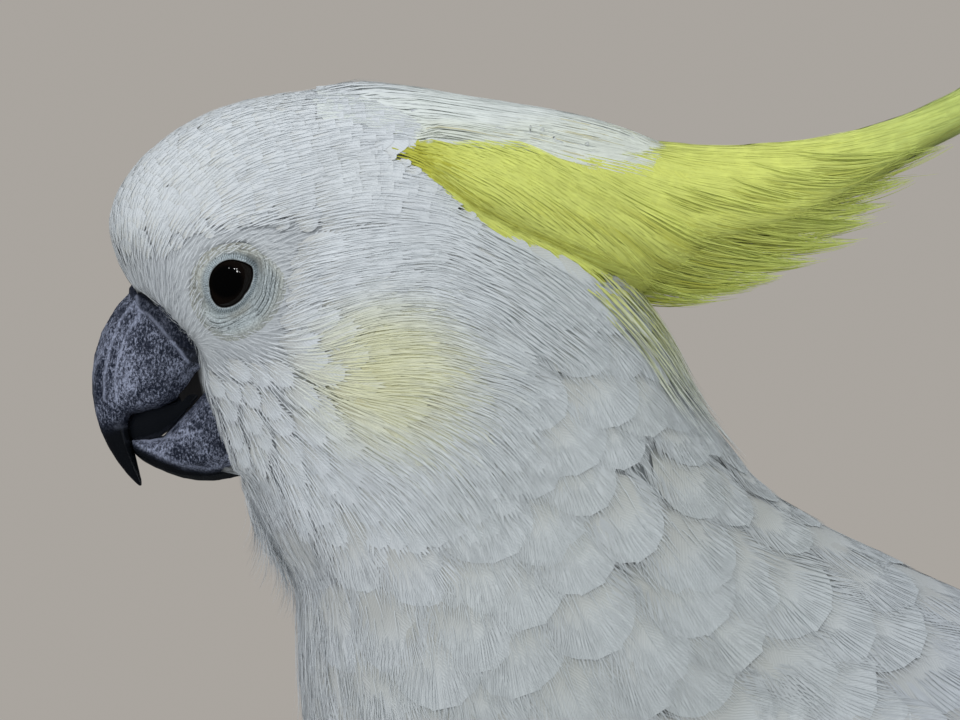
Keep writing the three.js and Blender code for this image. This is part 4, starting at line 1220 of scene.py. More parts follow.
# The cap's barbs: they start on the crown, run back over the cap without a step, and end on
# the flanks of the yellow plumes.
rng = np.random.default_rng(61)
cap_roots = scatter(joined_surface, lambda p: within(p, CAP_OUTLINE), 0.92 * MM, 61)
_, cap_back, cap_up = seen(cap_roots)
cap_room = 96.5 - cap_back + 0.5 * (cap_up - 31)  # how far the cap goes on behind each root
cap_size = np.minimum(rng.uniform(10, 24, len(cap_roots)), np.maximum(1.5, cap_room)) * MM
cap_spot, cap_normal = settle(joined_surface, cap_roots)
cap_end = cap_spot + cap_lie(cap_spot, cap_normal) * cap_size[:, None]
cap_low_height, cap_high_height = (cap_height(off_skin(place)) * MM for place in (cap_spot, cap_end))
on_plumes = blend_at(cap_back, 16, 34)
cap_low = blend_at(38 - cap_up + 0.06 * (cap_back - 50), -1, 3) * on_plumes
cap_line = trails(joined_surface, cap_roots, cap_lie, cap_size, cap_low_height,
                  cap_high_height + rng.uniform(0.0, 0.12, len(cap_roots)) * MM, rng,
                  sway=mixed(0.03, 0.05, cap_low), keep_way=0.3, steps=FEW_STEPS)
cap_tint = mixed(mixed(WHITE, CAP_WHITE, on_plumes[:, None]), np.array([0.77, 0.80, 0.66]), 0.5 * cap_low[:, None])
cap_tint = cap_tint * rng.normal(1, 0.012, (len(cap_roots), 1))
stained = (rng.random(len(cap_roots)) < 0.035) * cap_low * 0.6
cap_tint = mixed(cap_tint, np.array([0.55, 0.48, 0.18]), stained[:, None])
coat_piece("crest_cap_plumes", strands(cap_line, rng.uniform(0.4, 0.8, len(cap_roots)) * MM, cap_roots, cap_tint,
                                       rng, root_shade=0.98, roll=0.03, softness=0.97, steps=FEW_STEPS),
           white_plumage, "white_plumage")

rng = np.random.default_rng(71)
CREST_TOP = ([36, 60, 100, 130, 160, 190], [29, 20, 16, 20, 36, 66])
CREST_END, LAST_ROOTS = 206, 188  # how far back the crest and the last roots reach
CREST_FREE = 78  # behind this the crest stands clear of the head


def crest_strands(roots, sizes, low, highs, widths, sway, rng, surface=crest_surface, spread=0.13, **lay):
    """Barbs of the crest: fine and even along the closed upper blades, looser below, where painted shade deepens the
    yellow between the locks.
    """
    _, back, up = seen(roots)
    closed = blend_at(up - np.interp(back, *CREST_TOP), -6, 5)
    line = trails(surface, roots, crest_lie, np.minimum(sizes, (CREST_END - back) * 1.1) * MM, low * MM,
                  highs * mixed(0.85, 0.5, closed) * MM, rng, sway=sway * mixed(1.0, 0.25, closed),
                  keep_way=0.45, sunk=0.6, **lay)
    # Painted shade between the locks: bands of deeper yellow over the loose lower barbs, faint on the closed blades.
    lock_shade = np.sin(up * 1.1 + back * 0.55 + 2 * np.sin(back * 0.13)) * 0.5 + 0.5
    deep = (rng.normal(0.05, spread, len(roots)) + 0.45 * lock_shade ** 3) * mixed(1.0, 0.15, closed)
    tint = crest_colour(roots, np.clip(deep, -0.1, 0.7)) * (1 + rng.normal(0, 0.035, (len(roots), 1))
                                                            * mixed(1.0, 0.35, closed)[:, None])
    return strands(line, widths * MM, roots, tint, rng, root_shade=0.92, roll=0.10, softness=0.88)


batches = []
for surface, part in ((joined_surface, lambda p: seen(p)[1] <= CREST_FREE),
                      (crest_surface, lambda p: seen(p)[1] > CREST_FREE)):
    yellow_part = (lambda p: part(p) & (seen(p)[1] < LAST_ROOTS) & ~within(p, CAP_SIDE)
                   & (within(p, CREST_ZONE) if surface is joined_surface else True))
    broad_roots = scatter(surface, yellow_part, 1.7 * MM, 71)
    batches += crest_strands(broad_roots, rng.uniform(22, 40, len(broad_roots)), 0.35,
                             rng.uniform(0.5, 0.68, len(broad_roots)), rng.uniform(0.9, 1.6, len(broad_roots)), 0.05,
                             rng, surface=surface)
    fine_roots = scatter(surface, yellow_part, 0.95 * MM, 72)
    batches += crest_strands(fine_roots, rng.uniform(14, 34, len(fine_roots)), 0.5,
                             rng.uniform(0.62, 0.88, len(fine_roots)), rng.uniform(0.25, 0.5, len(fine_roots)), 0.06,
                             rng, surface=surface)
coat_piece("crest_barbs", batches, yellow_plumage, "yellow_plumage")

# The point where the yellow plumes spring from the crown: barbs that rise through the white.
first_roots = scatter(joined_surface, lambda p: within(p, CREST_ROOT), 0.75 * MM, 73)
first_barbs = crest_strands(first_roots, rng.uniform(12, 26, len(first_roots)), 1.7,
                            rng.uniform(1.9, 2.3, len(first_roots)), rng.uniform(0.3, 0.5, len(first_roots)), 0.05,
                            rng, surface=joined_surface)

# Locks that part from the lower edge: [tip back and up, root back and up, root spread, barbs].
CREST_LOCKS = ((150, 22.5, 118, 22, 8, 60), (144.5, 17, 112, 19, 9, 70), (141, 13.2, 104, 16, 9, 90),
               (137, 8.6, 100, 14, 9, 60), (127.5, 4.2, 92, 12, 9, 90), (121, 1.0, 88, 8, 8, 60),
               (115, -1.5, 80, 8, 8, 80), (108, -4, 76, 5, 7, 50), (158, 30, 128, 25, 6, 40))
lock_steps = np.array([0, 0.2, 0.4, 0.57, 0.72, 0.84, 0.93, 1.0])
lock_batches = []
for tip_back, tip_up, root_back, root_up, spread, count in CREST_LOCKS:
    for sign in (1, -1):
        across = rng.uniform(-1, 1, (count, 1))
        part = rng.uniform(-0.25, 0.25, (count, 1))
        start = np.array([root_back, root_up]) + across * spread * np.array([-0.45, 0.75]) + part * (8, -3)
        end = np.array([tip_back, tip_up]) + rng.normal(0, 1, (count, 1)) * (2.2, 0.5)
        end += across * (-1.6, 0.7) * rng.random((count, 1))
        end -= np.array([6.0, -1.0]) * rng.random((count, 1)) ** 3
        bend = mixed(start, end, 0.55) + np.array([0.5, -3.4]) + across * (0, 1.0)
        t = lock_steps[None, :, None]
        path = start[:, None] * (1 - t) ** 2 + bend[:, None] * 2 * t * (1 - t) + end[:, None] * t ** 2
        spots = np.stack([np.full(path.shape[:2], sign * 0.03), EYE[1] + path[..., 0] * MM, EYE[2] + path[..., 1] * MM],
                         axis=-1)
        reach = np.empty(path.shape[:2])
        for i, row in enumerate(spots.tolist()):
            for j, point in enumerate(row):
                hit = crest_surface["tree"].ray_cast(point, (-sign, 0, 0))[0]
                reach[i, j] = hit[0] * sign if hit and hit[0] * sign > 0 else 0.0
        reach = np.maximum(reach, 0.6 * MM)
        for _ in range(2):
            reach[:, 1:-1] = (reach[:, :-2] + reach[:, 1:-1] + reach[:, 2:]) / 3
        lift = rng.uniform(0.5, 1.5, (count, 1)) * np.minimum(1, 3 * lock_steps)[None, :] + 0.3
        spots[..., 0] = sign * (reach + lift * MM)
        normals = np.zeros_like(spots)
        normals[..., 0] = sign
        normals[..., 2] = 0.25 + 0.5 * across
        line = lines_of(spots, unit(normals))
        # Each lock is painted a deeper yellow on its lower, down-facing barbs: painted shade under it.
        tint = crest_colour(spots[:, 0], np.clip(0.25 - 0.3 * across[:, 0] + rng.normal(0, 0.15, count), 0, 0.8))
        lock_batches += strands(line, rng.uniform(0.22, 0.42, count) * MM, spots[:, 0],
                                tint * rng.normal(1, 0.05, (count, 1)), rng, root_shade=0.85, roll=0.25,
                                steps=lock_steps, softness=0.8, tip_tint=mixed(tint, CREST_TIP, 0.6))
coat_piece("crest_locks", first_barbs + lock_batches, yellow_plumage, "yellow_plumage")

LOOSE_EDGE = [(70, 8), (92, 4), (98, 6), (112, 6), (124, 10), (138, 14), (148, 22), (148, 28), (134, 22),
              (118, 16), (96, 14), (80, 16)]
wisp_roots = scatter(crest_surface, lambda p: within(p, LOOSE_EDGE), 2.0 * MM, 74)
wisps = crest_strands(wisp_roots, rng.uniform(18, 30, len(wisp_roots)), 0.3,
                      rng.uniform(0.8, 2.0, len(wisp_roots)), rng.uniform(0.2, 0.34, len(wisp_roots)), 0.16, rng,
                      free=0.6)
coat_piece("crest_wisps", wisps, yellow_plumage, "yellow_plumage")

# Narrow plumes at the nape: yellow-green where they leave the crest, white at their tips.
rng = np.random.default_rng(75)
NAPE_OUTLINE = [(78, 4), (88, 0), (98, -12), (102, -24), (93, -22), (86, -10), (76, -2)]
tip_roots = scatter(skin_surface, lambda p: within(p, NAPE_OUTLINE), 1.15 * MM, 75)
tip_line = trails(skin_surface, tip_roots, coat_lie, rng.uniform(13, 24, len(tip_roots)) * MM, 2.4 * MM,
                  rng.uniform(2.8, 4.6, len(tip_roots)) * MM, rng, sway=0.13)
tip_high = blend_at(seen(tip_roots)[2], -24, -2)[:, None]
tip_tint = mixed(WHITE, crest_colour(tip_roots, 0.1), 0.25 + 0.75 * tip_high)
nape_plumes = strands(tip_line, rng.uniform(0.3, 0.55, len(tip_roots)) * MM, tip_roots, tip_tint, rng,
                      tip_tint=np.broadcast_to(WHITE, tip_tint.shape), root_shade=0.9, roll=0.3, softness=0.75)
coat_piece("nape_plumes", nape_plumes, yellow_plumage, "yellow_plumage")


# ---------------------------------------------------------------- eyes
# Glossy dark eyeballs set deep in the head, each with its clear wet front and a dark brown
# iris that shows only as a faint ring of fibres.
eye_gloss, eye_tree, eye_shader = material_named("eye_gloss", Roughness=0.08, Coat_Weight=1.0, Coat_Roughness=0.02,
                                                 Coat_IOR=1.22, Specular_IOR_Level=0.12)
iris_where = object_place(eye_tree)
iris_axes = wire(eye_tree, "ShaderNodeSeparateXYZ", i0=iris_where)
iris_y, iris_z = (maths(eye_tree, "SUBTRACT", iris_axes.outputs[axis], float(EYE[axis])) for axis in (1, 2))
iris_flat = wire(eye_tree, "ShaderNodeCombineXYZ", i0=iris_y, i1=iris_z).outputs[0]
iris_far = wire(eye_tree, "ShaderNodeVectorMath", {"operation": "LENGTH"}, i0=iris_flat).outputs["Value"]
iris_edge = maths(eye_tree, "MULTIPLY_ADD", noise(eye_tree, iris_where, 1500.0, 3.0), 0.6 * MM, iris_far)
iris_part = ranged(eye_tree, iris_edge, 3.3 * MM, 4.6 * MM, 0.0, 1.0)
link_to(eye_tree, eye_shader,
        Base_Color=colour_mix(eye_tree, iris_part, (0.001, 0.001, 0.001, 1), (0.006, 0.004, 0.003, 1)))
for side, sign in (("left", 1), ("right", -1)):
    bpy.ops.object.select_all(action="DESELECT")
    bpy.ops.mesh.primitive_uv_sphere_add(segments=64, ring_count=40, radius=EYE_RADIUS + 0.45 * MM,
                                         location=(sign * EYE[0], EYE[1], EYE[2]), rotation=(0, math.pi / 2, 0))
    eyeball = bpy.context.object
    eyeball.name = "eyeball_" + side
    bpy.ops.object.transform_apply(location=True, rotation=True, scale=True)
    bpy.ops.object.shade_smooth()
    eyeball.data.materials.append(eye_gloss)
    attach(eyeball, "root")
    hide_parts("eye_" + side)

# ---------------------------------------------------------------- eye rings
# Bare blue-white skin round each eye: a thick beaded lid rim that wraps the eyeball, and
# concentric wrinkles, widest behind and below, that run out under the face feathers.
LID_TURNS = np.radians([0, 37, 64, 93, 131, 166, 197, 240, 253, 290, 326, 360])
LID_OPENING = np.array([4.9, 6.35, 5.65, 5.35, 4.85, 4.5, 4.5, 5.6, 5.6, 4.75, 4.25, 4.9])
LID_SHIFT = (0.55, -0.45)
RING_AROUND = 360  # places round the ring
ring_steps = np.concatenate([[-0.06, -0.035, -0.012], np.linspace(0, 1, 58) ** 1.15])
ring_turn = np.linspace(0, 2 * np.pi, RING_AROUND, endpoint=False)
kernel = np.hanning(17) / np.hanning(17).sum()


def smoothed_round(values):
    """Values round the ring, smoothed without a break where it closes."""
    return np.convolve(np.concatenate([values[-8:], values, values[:8]]), kernel, "valid")


def side_of_head(back, up):
    """How far out the skin lies, in metres, at a place seen from the side."""
    hit = face_surface["tree"].ray_cast((0.09, EYE[1] + back * MM, EYE[2] + up * MM), (-1, 0, 0))[0]
    return hit[0] if hit else 0.0


opening = smoothed_round(np.interp(ring_turn, LID_TURNS, LID_OPENING))
reach = smoothed_round(np.interp(ring_turn, RING_TURNS, RING_REACH)) + 1.2
turn_grid, step_grid = np.meshgrid(ring_turn, ring_steps, indexing="ij")
radius_grid = opening[:, None] + (reach - opening)[:, None] * step_grid
back_grid = radius_grid * np.cos(turn_grid) + LID_SHIFT[0] * (1 - step_grid)
up_grid = radius_grid * np.sin(turn_grid) + LID_SHIFT[1] * (1 - step_grid)
ball_out = np.sqrt(np.maximum((EYE_RADIUS / MM + 0.65) ** 2 - back_grid ** 2 - up_grid ** 2, 4)) + EYE[0] / MM
skin_out = np.vectorize(side_of_head)(back_grid, up_grid) / MM
wave = step_grid * (reach - opening)[:, None]  # millimetres outward from the lid edge


def ripple(seed, turns, steps):
    """A smooth random field round the ring, about -1 to 1."""
    rng = np.random.default_rng(seed)
    field = np.zeros_like(wave)
    for _ in range(9):
        a, b, c = rng.integers(1, turns), rng.uniform(-steps, steps), rng.uniform(0, 6.28)
        field += np.sin(a * turn_grid + b * wave + c) / 3
    return field


def creases(pitch, sharp, warp):
    """Rounded ridges with narrow creases between them: 0 on a ridge, 1 in a crease."""
    return np.exp(-(np.sin((wave + warp) * np.pi / pitch) / sharp) ** 2)


behind = blend_at(np.cos(turn_grid + 0.9), -0.5, 0.7)  # the folds are deepest behind and below
beads = 0
for row, number, place in ((1, 78, 0.32), (2, 84, 0.85), (3, 90, 1.40), (4, 96, 1.95)):
    bead = 0.5 + 0.5 * np.cos(turn_grid * number + row * 2.1 + 1.6 * ripple(row, 9, 1))
    beads = beads + bead * np.exp(-((wave - place) / 0.24) ** 2) * (1 if row < 3 else 0.9 * behind)
rim = np.exp(-((wave - 0.5) / 0.5) ** 2)
folds = creases(1.05, 0.36, 0.42 * ripple(4, 6, 0.5)) * blend_at(wave, 1.5, 2.4)
folds = folds * mixed(0.35, 1.0, behind) * blend_at(ripple(5, 7, 0.6), -1.2, 0.3)
fine_folds = creases(0.5, 0.45, 0.3 * ripple(6, 11, 1.0)) * blend_at(wave, 1.0, 2.0)
fine_folds = fine_folds * blend_at(ripple(8, 13, 0.9), -1.0, 0.6)
crossed = creases(0.8, 0.32, turn_grid * 3.4 + 0.6 * ripple(9, 14, 0.9)) * blend_at(wave, 1.8, 3.2)
crossed = crossed * blend_at(ripple(10, 9, 0.8), -0.4, 0.8)
pebbles = ripple(7, 70, 7) * ripple(11, 80, 8)
fade = 1 - blend_at(step_grid, 0.8, 1.0)
relief = (0.26 * beads - 0.36 * folds - 0.22 * fine_folds - 0.26 * crossed + 0.09 * pebbles) * fade
lid = 0.42 * rim + 0.40 * np.exp(-((wave - 3.4) / 1.3) ** 2) * behind
over_face = mixed(0.75 - 1.2 * blend_at(wave, 0.9, 2.4), 0.8 - 0.9 * blend_at(step_grid, 0.7, 1.0), behind)
ring_out = mixed(ball_out, skin_out + over_face, blend_at(wave, 0.3, mixed(2.2, 3.4, behind)))
ring_out = np.maximum(ring_out + lid * fade + relief, np.where(radius_grid < EYE_RADIUS / MM, ball_out + 0.1, 0))
ring_out[:, 0] = ball_out[:, 0] - 0.7
ring_out[:, 1] = ball_out[:, 1] - 0.1
ring_out[:, 2] = ball_out[:, 2] + 0.15
# Painted shade in the wrinkles: the creases, folds, pebbled hollows and gaps between the beads are darkened towards
# near black.
gaps = np.clip(1 - beads, 0, 1) * np.exp(-((wave - 0.7) / 0.75) ** 2)
crease_shade = np.clip(0.85 * folds + 0.7 * fine_folds + 0.75 * crossed + 0.8 * gaps + 0.3 * pebbles, 0, 1)
RING_BLUE, RING_CREASE_SHADE = np.array([0.58, 0.64, 0.65]), np.array([0.07, 0.085, 0.085])
BEAD_BLUE, RING_EDGE = np.array([0.58, 0.68, 0.75]), np.array([0.50, 0.54, 0.52])
RING_BROWN = np.array([0.30, 0.27, 0.20])  # faint stains, and the feet of the bristles
BRISTLE_WHITE = np.array([0.60, 0.61, 0.55])
brownish = 0.4 * np.exp(-((wave - 2.2) / 0.8) ** 2) * blend_at(ripple(9, 5, 0.3), -0.2, 0.9)
feathered = mixed(blend_at(wave, 1.1, 2.0), blend_at(step_grid, 0.55, 0.95), behind)
bristle_feet = 0.6 * (1 - behind) * blend_at(ripple(12, 60, 6), -0.3, 0.8)
feather_tone = mixed(BRISTLE_WHITE, RING_BROWN, bristle_feet[..., None])
ring_colour = RING_BLUE
for tone, amount in ((RING_CREASE_SHADE, 0.9 * crease_shade * fade), (BEAD_BLUE, 0.85 * rim * np.clip(beads, 0, 1)),
                     (RING_EDGE, 0.5 * blend_at(step_grid, 0.6, 1.0)), (RING_BROWN, brownish),
                     (feather_tone, 0.8 * feathered)):
    ring_colour = mixed(ring_colour, tone, amount[..., None])
ring_colour[:, :3] *= 0.01  # the part tucked behind the lid is painted black, as shade
ring_numbers = np.arange(RING_AROUND * len(ring_steps)).reshape(RING_AROUND, -1)
ring_next = np.roll(ring_numbers, -1, axis=0)
ring_quads = np.stack([ring_numbers[:, :-1], ring_numbers[:, 1:], ring_next[:, 1:], ring_next[:, :-1]], axis=-1)
ring_quads = ring_quads.reshape(-1, 4)
bare_skin, bare_tree, bare_shader = material_named("bare_skin", Roughness=0.5, Specular_IOR_Level=0.35)
bare_grain = wire(bare_tree, "ShaderNodeTexVoronoi", i0=object_place(bare_tree), Scale=2400.0).outputs["Distance"]
bare_tone = ranged(bare_tree, bare_grain, 0.0, 0.7, 1.12, 0.74, "LINEAR")
link_to(bare_tree, bare_shader, Base_Color=stored_colour(bare_tree, bare_tone),
        Normal=bumped(bare_tree, 0.6, 0.12, bare_grain))
for side, sign in (("left", 1), ("right", -1)):
    ring_mesh = bpy.data.meshes.new("eye_ring_" + side)
    ring_rows = np.stack([sign * ring_out * MM, EYE[1] + back_grid * MM, EYE[2] + up_grid * MM], axis=-1)
    ring_faces = ring_quads[:, ::-sign]
    ring_mesh.from_pydata(ring_rows.reshape(-1, 3).tolist(), [], ring_faces.tolist())
    ring_mesh.shade_smooth()
    paint(ring_mesh, ring_colour.reshape(-1, 3))
    ring_mesh.materials.append(bare_skin)
    ring = placed("eye_ring_" + side, ring_mesh)
    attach(ring, "root")


# ---------------------------------------------------------------- bill
# Slate-grey horn over bone, flaky and mottled on the sides and worn to a black polish on the
# hook and along the underside. A groove and two ridges run down the side of the upper bill.
def to_line(points, line):
    """Distance in millimetres, seen from the side, to a line of [back, up] places."""
    _, back, up = seen(points)
    far = np.full(len(points), 1e9)
    for (b0, u0), (b1, u1) in zip(line, line[1:]):
        long = (b1 - b0) ** 2 + (u1 - u0) ** 2
        t = np.clip(((back - b0) * (b1 - b0) + (up - u0) * (u1 - u0)) / long, 0, 1)
        far = np.minimum(far, np.hypot(back - b0 - t * (b1 - b0), up - u0 - t * (u1 - u0)))
    return far


SLATE, PALE_FLAKE = (0.011, 0.016, 0.034, 1), (0.35, 0.38, 0.50, 1)
BLACK_POLISH_AND_SHADE = (0.006, 0.007, 0.009, 1)
horn_group, horn_out = shared_effect("flaky_horn", (), ("Colour", "Height", "Rough"))


def horn_maths(operation, *values):
    """One Math node's result, in the horn's group."""
    return maths(horn_group, operation, *values)


horn_where = object_place(horn_group)
horn_marks = wire(horn_group, "ShaderNodeAttribute", {"attribute_name": "horn_marks"}).outputs["Color"]
# The marks: red is the polish, green the pale ridges, and blue painted shade in hollows (the nostril slit, the fold of
# the cere, the inside of the mouth and a little over the tongue).
polish, ridge, hollow_shade = wire(horn_group, "ShaderNodeSeparateColor", i0=horn_marks).outputs
unpolished = horn_maths("SUBTRACT", 1.0, polish)
stretched = wire(horn_group, "ShaderNodeMapping", i0=horn_where, Scale=(1.0, 1.0, 0.6)).outputs[0]
flakes = noise(horn_group, stretched, 2300.0, 5.0, Roughness=0.8, Distortion=0.3)
clouds = noise(horn_group, horn_where, 170.0, 3.0)
cracks = wire(horn_group, "ShaderNodeTexVoronoi", {"feature": "DISTANCE_TO_EDGE"},
              i0=wandering(horn_group, horn_where, 420.0, 0.004), Scale=300.0).outputs[0]
cracks = ranged(horn_group, cracks, 0.012, 0.04, 1.0, 0.0, "LINEAR")
fleck = ranged(horn_group, horn_maths("MULTIPLY_ADD", clouds, 0.30, flakes), 0.60, 0.80, 0.0, 1.0)
crack_part = horn_maths("MULTIPLY", cracks, horn_maths("GREATER_THAN", clouds, 0.5))
pale = horn_maths("MULTIPLY", horn_maths("MULTIPLY_ADD", crack_part, 0.35, fleck), unpolished)
pale = horn_maths("MINIMUM", horn_maths("MULTIPLY_ADD", ridge, 0.75, pale), 1.0)
pale = horn_maths("MULTIPLY", pale, horn_maths("MULTIPLY_ADD", hollow_shade, -0.8, 1.0))
# Black where the horn is polished, and black as painted shade in its hollows.
horn_tint = colour_mix(horn_group, horn_maths("MAXIMUM", polish, hollow_shade),
                       colour_mix(horn_group, pale, SLATE, PALE_FLAKE), BLACK_POLISH_AND_SHADE)
rough = horn_maths("MULTIPLY", horn_maths("MULTIPLY_ADD", flakes, 0.25, 0.36),
                   horn_maths("MULTIPLY_ADD", polish, -0.62, 1.0))
height = horn_maths("MULTIPLY", horn_maths("MULTIPLY_ADD", cracks, -0.4, flakes), unpolished)
link_to(horn_group, horn_out, Colour=horn_tint, Height=height, Rough=rough)


def horn_material(name, bump, **principled):
    """Horn or horny skin, with the flaky effect and a bump of this strength."""
    made, tree, shader = material_named(name, **principled)
    horn = wire(tree, "ShaderNodeGroup", {"node_tree": horn_group})
    link_to(tree, shader, Base_Color=horn.outputs["Colour"], Roughness=horn.outputs["Rough"],
            Normal=bumped(tree, bump, 0.25, horn.outputs["Height"]))
    return made


bill_horn = horn_material("bill_horn", 0.6, Specular_IOR_Level=0.5)


def rounded(node, name, voxel, smooth):
    """A smooth, evenly meshed copy of a CAD node."""
    piece = copy_of(node, name)
    rounded_off(piece, voxel, smooth)
    return piece


def near_line(points, line, width, power=2):
    """1 on a line seen from the side, fading to 0 over a width in millimetres."""
    return np.exp(-(to_line(points, line) / width) ** power)


def horn_piece(piece, marks, lift, material, slot, *nodes):
    """Raises the horn by lift (in mm), stores its marks and finishes the piece."""
    put(piece.data, places(piece.data) + vertex_normals(piece.data) * lift[:, None] * MM)
    paint(piece.data, np.clip(marks, 0, 1), "horn_marks")
    piece.data.materials.append(material)
    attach(piece, "root")
    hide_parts(*nodes)


CULMEN_RIDGE = ((-20.9, -3.8), (-24.6, -8.6), (-26.9, -15), (-28.0, -20.7), (-28.0, -26.3))
SECOND_RIDGE = ((-20.0, -7.0), (-23.0, -11.5), (-24.9, -17), (-25.6, -22), (-25.2, -26.5))
CERE_EDGE = ((-20.9, -3.1), (-20.4, -6.1), (-18.2, -7.2), (-16, -9.4), (-13.4, -12.4), (-10.8, -15.5),
             (-9.2, -17.8))
NOSTRIL = ((-20.4, -1.8), (-18.5, -3.0), (-16.5, -4.6))
CUTTING_EDGE = ((-25.5, -32.5), (-21, -32.2), (-17, -31.6), (-12.8, -29.7), (-10, -28.4), (-8.2, -25.5))
upper = rounded("bill_upper", "upper_bill", 0.5, 4)
spots = places(upper.data)
out, back, up = seen(spots)
culmen = near_line(spots, CULMEN_RIDGE, 0.3)
second = near_line(spots, SECOND_RIDGE, 0.28)
groove = np.exp(-((to_line(spots, CULMEN_RIDGE) - 1.4) / 0.7) ** 2) * blend_at(back, -28.5, -24)
edge = near_line(spots, CERE_EDGE, 0.3)
rim = near_line(spots, CUTTING_EDGE, 0.45)
polish_mark = blend_at(-up + 0.35 * (back + 26), 29.0, 34.5)
slit = near_line(spots, NOSTRIL, 0.6, 4) * (out > 3)
edge_back, edge_up = np.array(CERE_EDGE).T
behind_edge = blend_at(back - np.interp(-up, -edge_up, edge_back), 0.2, 1.2)
in_mouth = blend_at(back + 0.2 * up, -18.5, -16.5) * blend_at(-up, 25, 30)
# The third mark, painted shade, darkens the nostril slit and the inside of the mouth.
upper_marks = np.stack([polish_mark + 0.45 * behind_edge * (up > -18),
                        0.8 * culmen + 0.7 * second + 1.3 * edge + 0.7 * rim, slit + 0.9 * in_mouth], axis=1)
horn_piece(upper, upper_marks, 0.28 * culmen + 0.2 * second - 0.25 * groove + 0.25 * edge + 0.12 * rim, bill_horn,
           "bill_horn", "bill_upper")

LOWER_RIM = ((-7.5, -25.2), (-10.3, -28.8), (-12.6, -31.7), (-15.7, -34.7), (-18, -35.6), (-20.5, -35))
LOWER_NOTCH = ((-15.4, -35), (-13.5, -34.4), (-11.5, -34.7), (-9.4, -33.6), (-6.7, -33.3))
lower = rounded("bill_lower", "lower_bill", 0.45, 3)
spots = places(lower.data)
_, back, up = seen(spots)
spots[:, 1] -= 1.4 * MM * blend_at(-back, 15, 20.7)  # its tip closes on the hook
put(lower.data, spots)
_, back, up = seen(spots)
rim = near_line(spots, LOWER_RIM, 0.35)
notch = near_line(spots, LOWER_NOTCH, 0.3)
under = np.interp(back, [-22, -16, -10, -5, 2], [-37.2, -40.2, -42.6, -43.2, -42.2])
polish_mark = blend_at(under - up, -2.0, 0.1)
flaked = np.exp(-((up - under - 1.6) / 0.5) ** 2)
lower_marks = np.stack([polish_mark, 1.3 * rim + 0.6 * notch + 0.35 * flaked * (1 - polish_mark), 0 * rim], axis=1)
horn_piece(lower, lower_marks, 0.22 * rim - 0.15 * notch, bill_horn, "bill_horn", "bill_lower")

# ---------------------------------------------------------------- cere and tongue
# The narrow band of bare dark skin at the base of the bill, with the slit of the nostril close
# under the forehead feathers; and the thick dry tongue in the gape.
cere = rounded("cere", "nose_skin", 0.45, 4)
spots = places(cere.data)
nostril = near_line(spots, NOSTRIL, 0.75, 4) * (seen(spots)[0] > 3)
fold = np.exp(-((to_line(spots, CERE_EDGE) - 0.9) / 0.5) ** 2)
_, cere_back, cere_up = seen(spots)
gape = blend_at(-cere_up, 17, 21)
cere_edge = near_line(spots, CERE_EDGE, 0.4)
scaly = 0.5 + 0.5 * np.sin(cere_back * 7) * np.sin(cere_up * 6)
# The third mark, painted shade, darkens the nostril and the fold beside the cere's edge.
cere_marks = np.stack([0.45 * (1 - gape), 1.2 * cere_edge + 0.3 * gape * scaly, nostril + 0.3 * fold], axis=1)
horn_piece(cere, cere_marks, -0.9 * nostril - 0.15 * fold, horn_material("cere_skin", 0.35, Specular_IOR_Level=0.3),
           "bare_skin", "cere")
tongue = rounded("tongue", "dry_tongue", 0.6, 3)
spots = places(tongue.data)
_, tongue_back, tongue_up = seen(spots)
tongue_front = blend_at(-tongue_back, 12, 19)
spots[:, 1] -= 3.2 * MM * tongue_front
spots[:, 2] += (tongue_up - np.interp(tongue_back, [-20, -12], [-32.2, -30.2])) * 0.45 * MM * tongue_front
put(tongue.data, spots)
tongue_marks = np.stack([np.full(len(spots), 0.97), np.zeros(len(spots)), np.full(len(spots), 0.2)], axis=1)
horn_piece(tongue, tongue_marks, np.zeros(len(spots)), horn_material("tongue_skin", 0.5, Specular_IOR_Level=0.4),
           "tongue_skin", "tongue")


# ---------------------------------------------------------------- feet
# Dark grey scaly skin, loose over shank and toes, two toes forward and two back, each ending in
# a curved claw of black horn.
foot_skin, foot_tree, foot_shader = material_named("foot_skin", Roughness=0.62, Specular_IOR_Level=0.35)
FOOT_DARK, FOOT_PALE = (0.035, 0.034, 0.036, 1), (0.22, 0.215, 0.22, 1)
foot_where = object_place(foot_tree)
scales = wire(foot_tree, "ShaderNodeTexVoronoi", {"feature": "DISTANCE_TO_EDGE"},
              i0=wandering(foot_tree, foot_where, 300.0, 0.0015), Scale=520.0).outputs[0]
scale_edge = ranged(foot_tree, scales, 0.02, 0.22, 0.0, 1.0)
foot_mix = maths(foot_tree, "MULTIPLY_ADD", noise(foot_tree, foot_where, 900.0, 4.0), 0.5,
                 maths(foot_tree, "MULTIPLY", scale_edge, 0.55))
link_to(foot_tree, foot_shader, Base_Color=colour_mix(foot_tree, foot_mix, FOOT_DARK, FOOT_PALE),
        Normal=bumped(foot_tree, 0.9, 0.3, scale_edge))

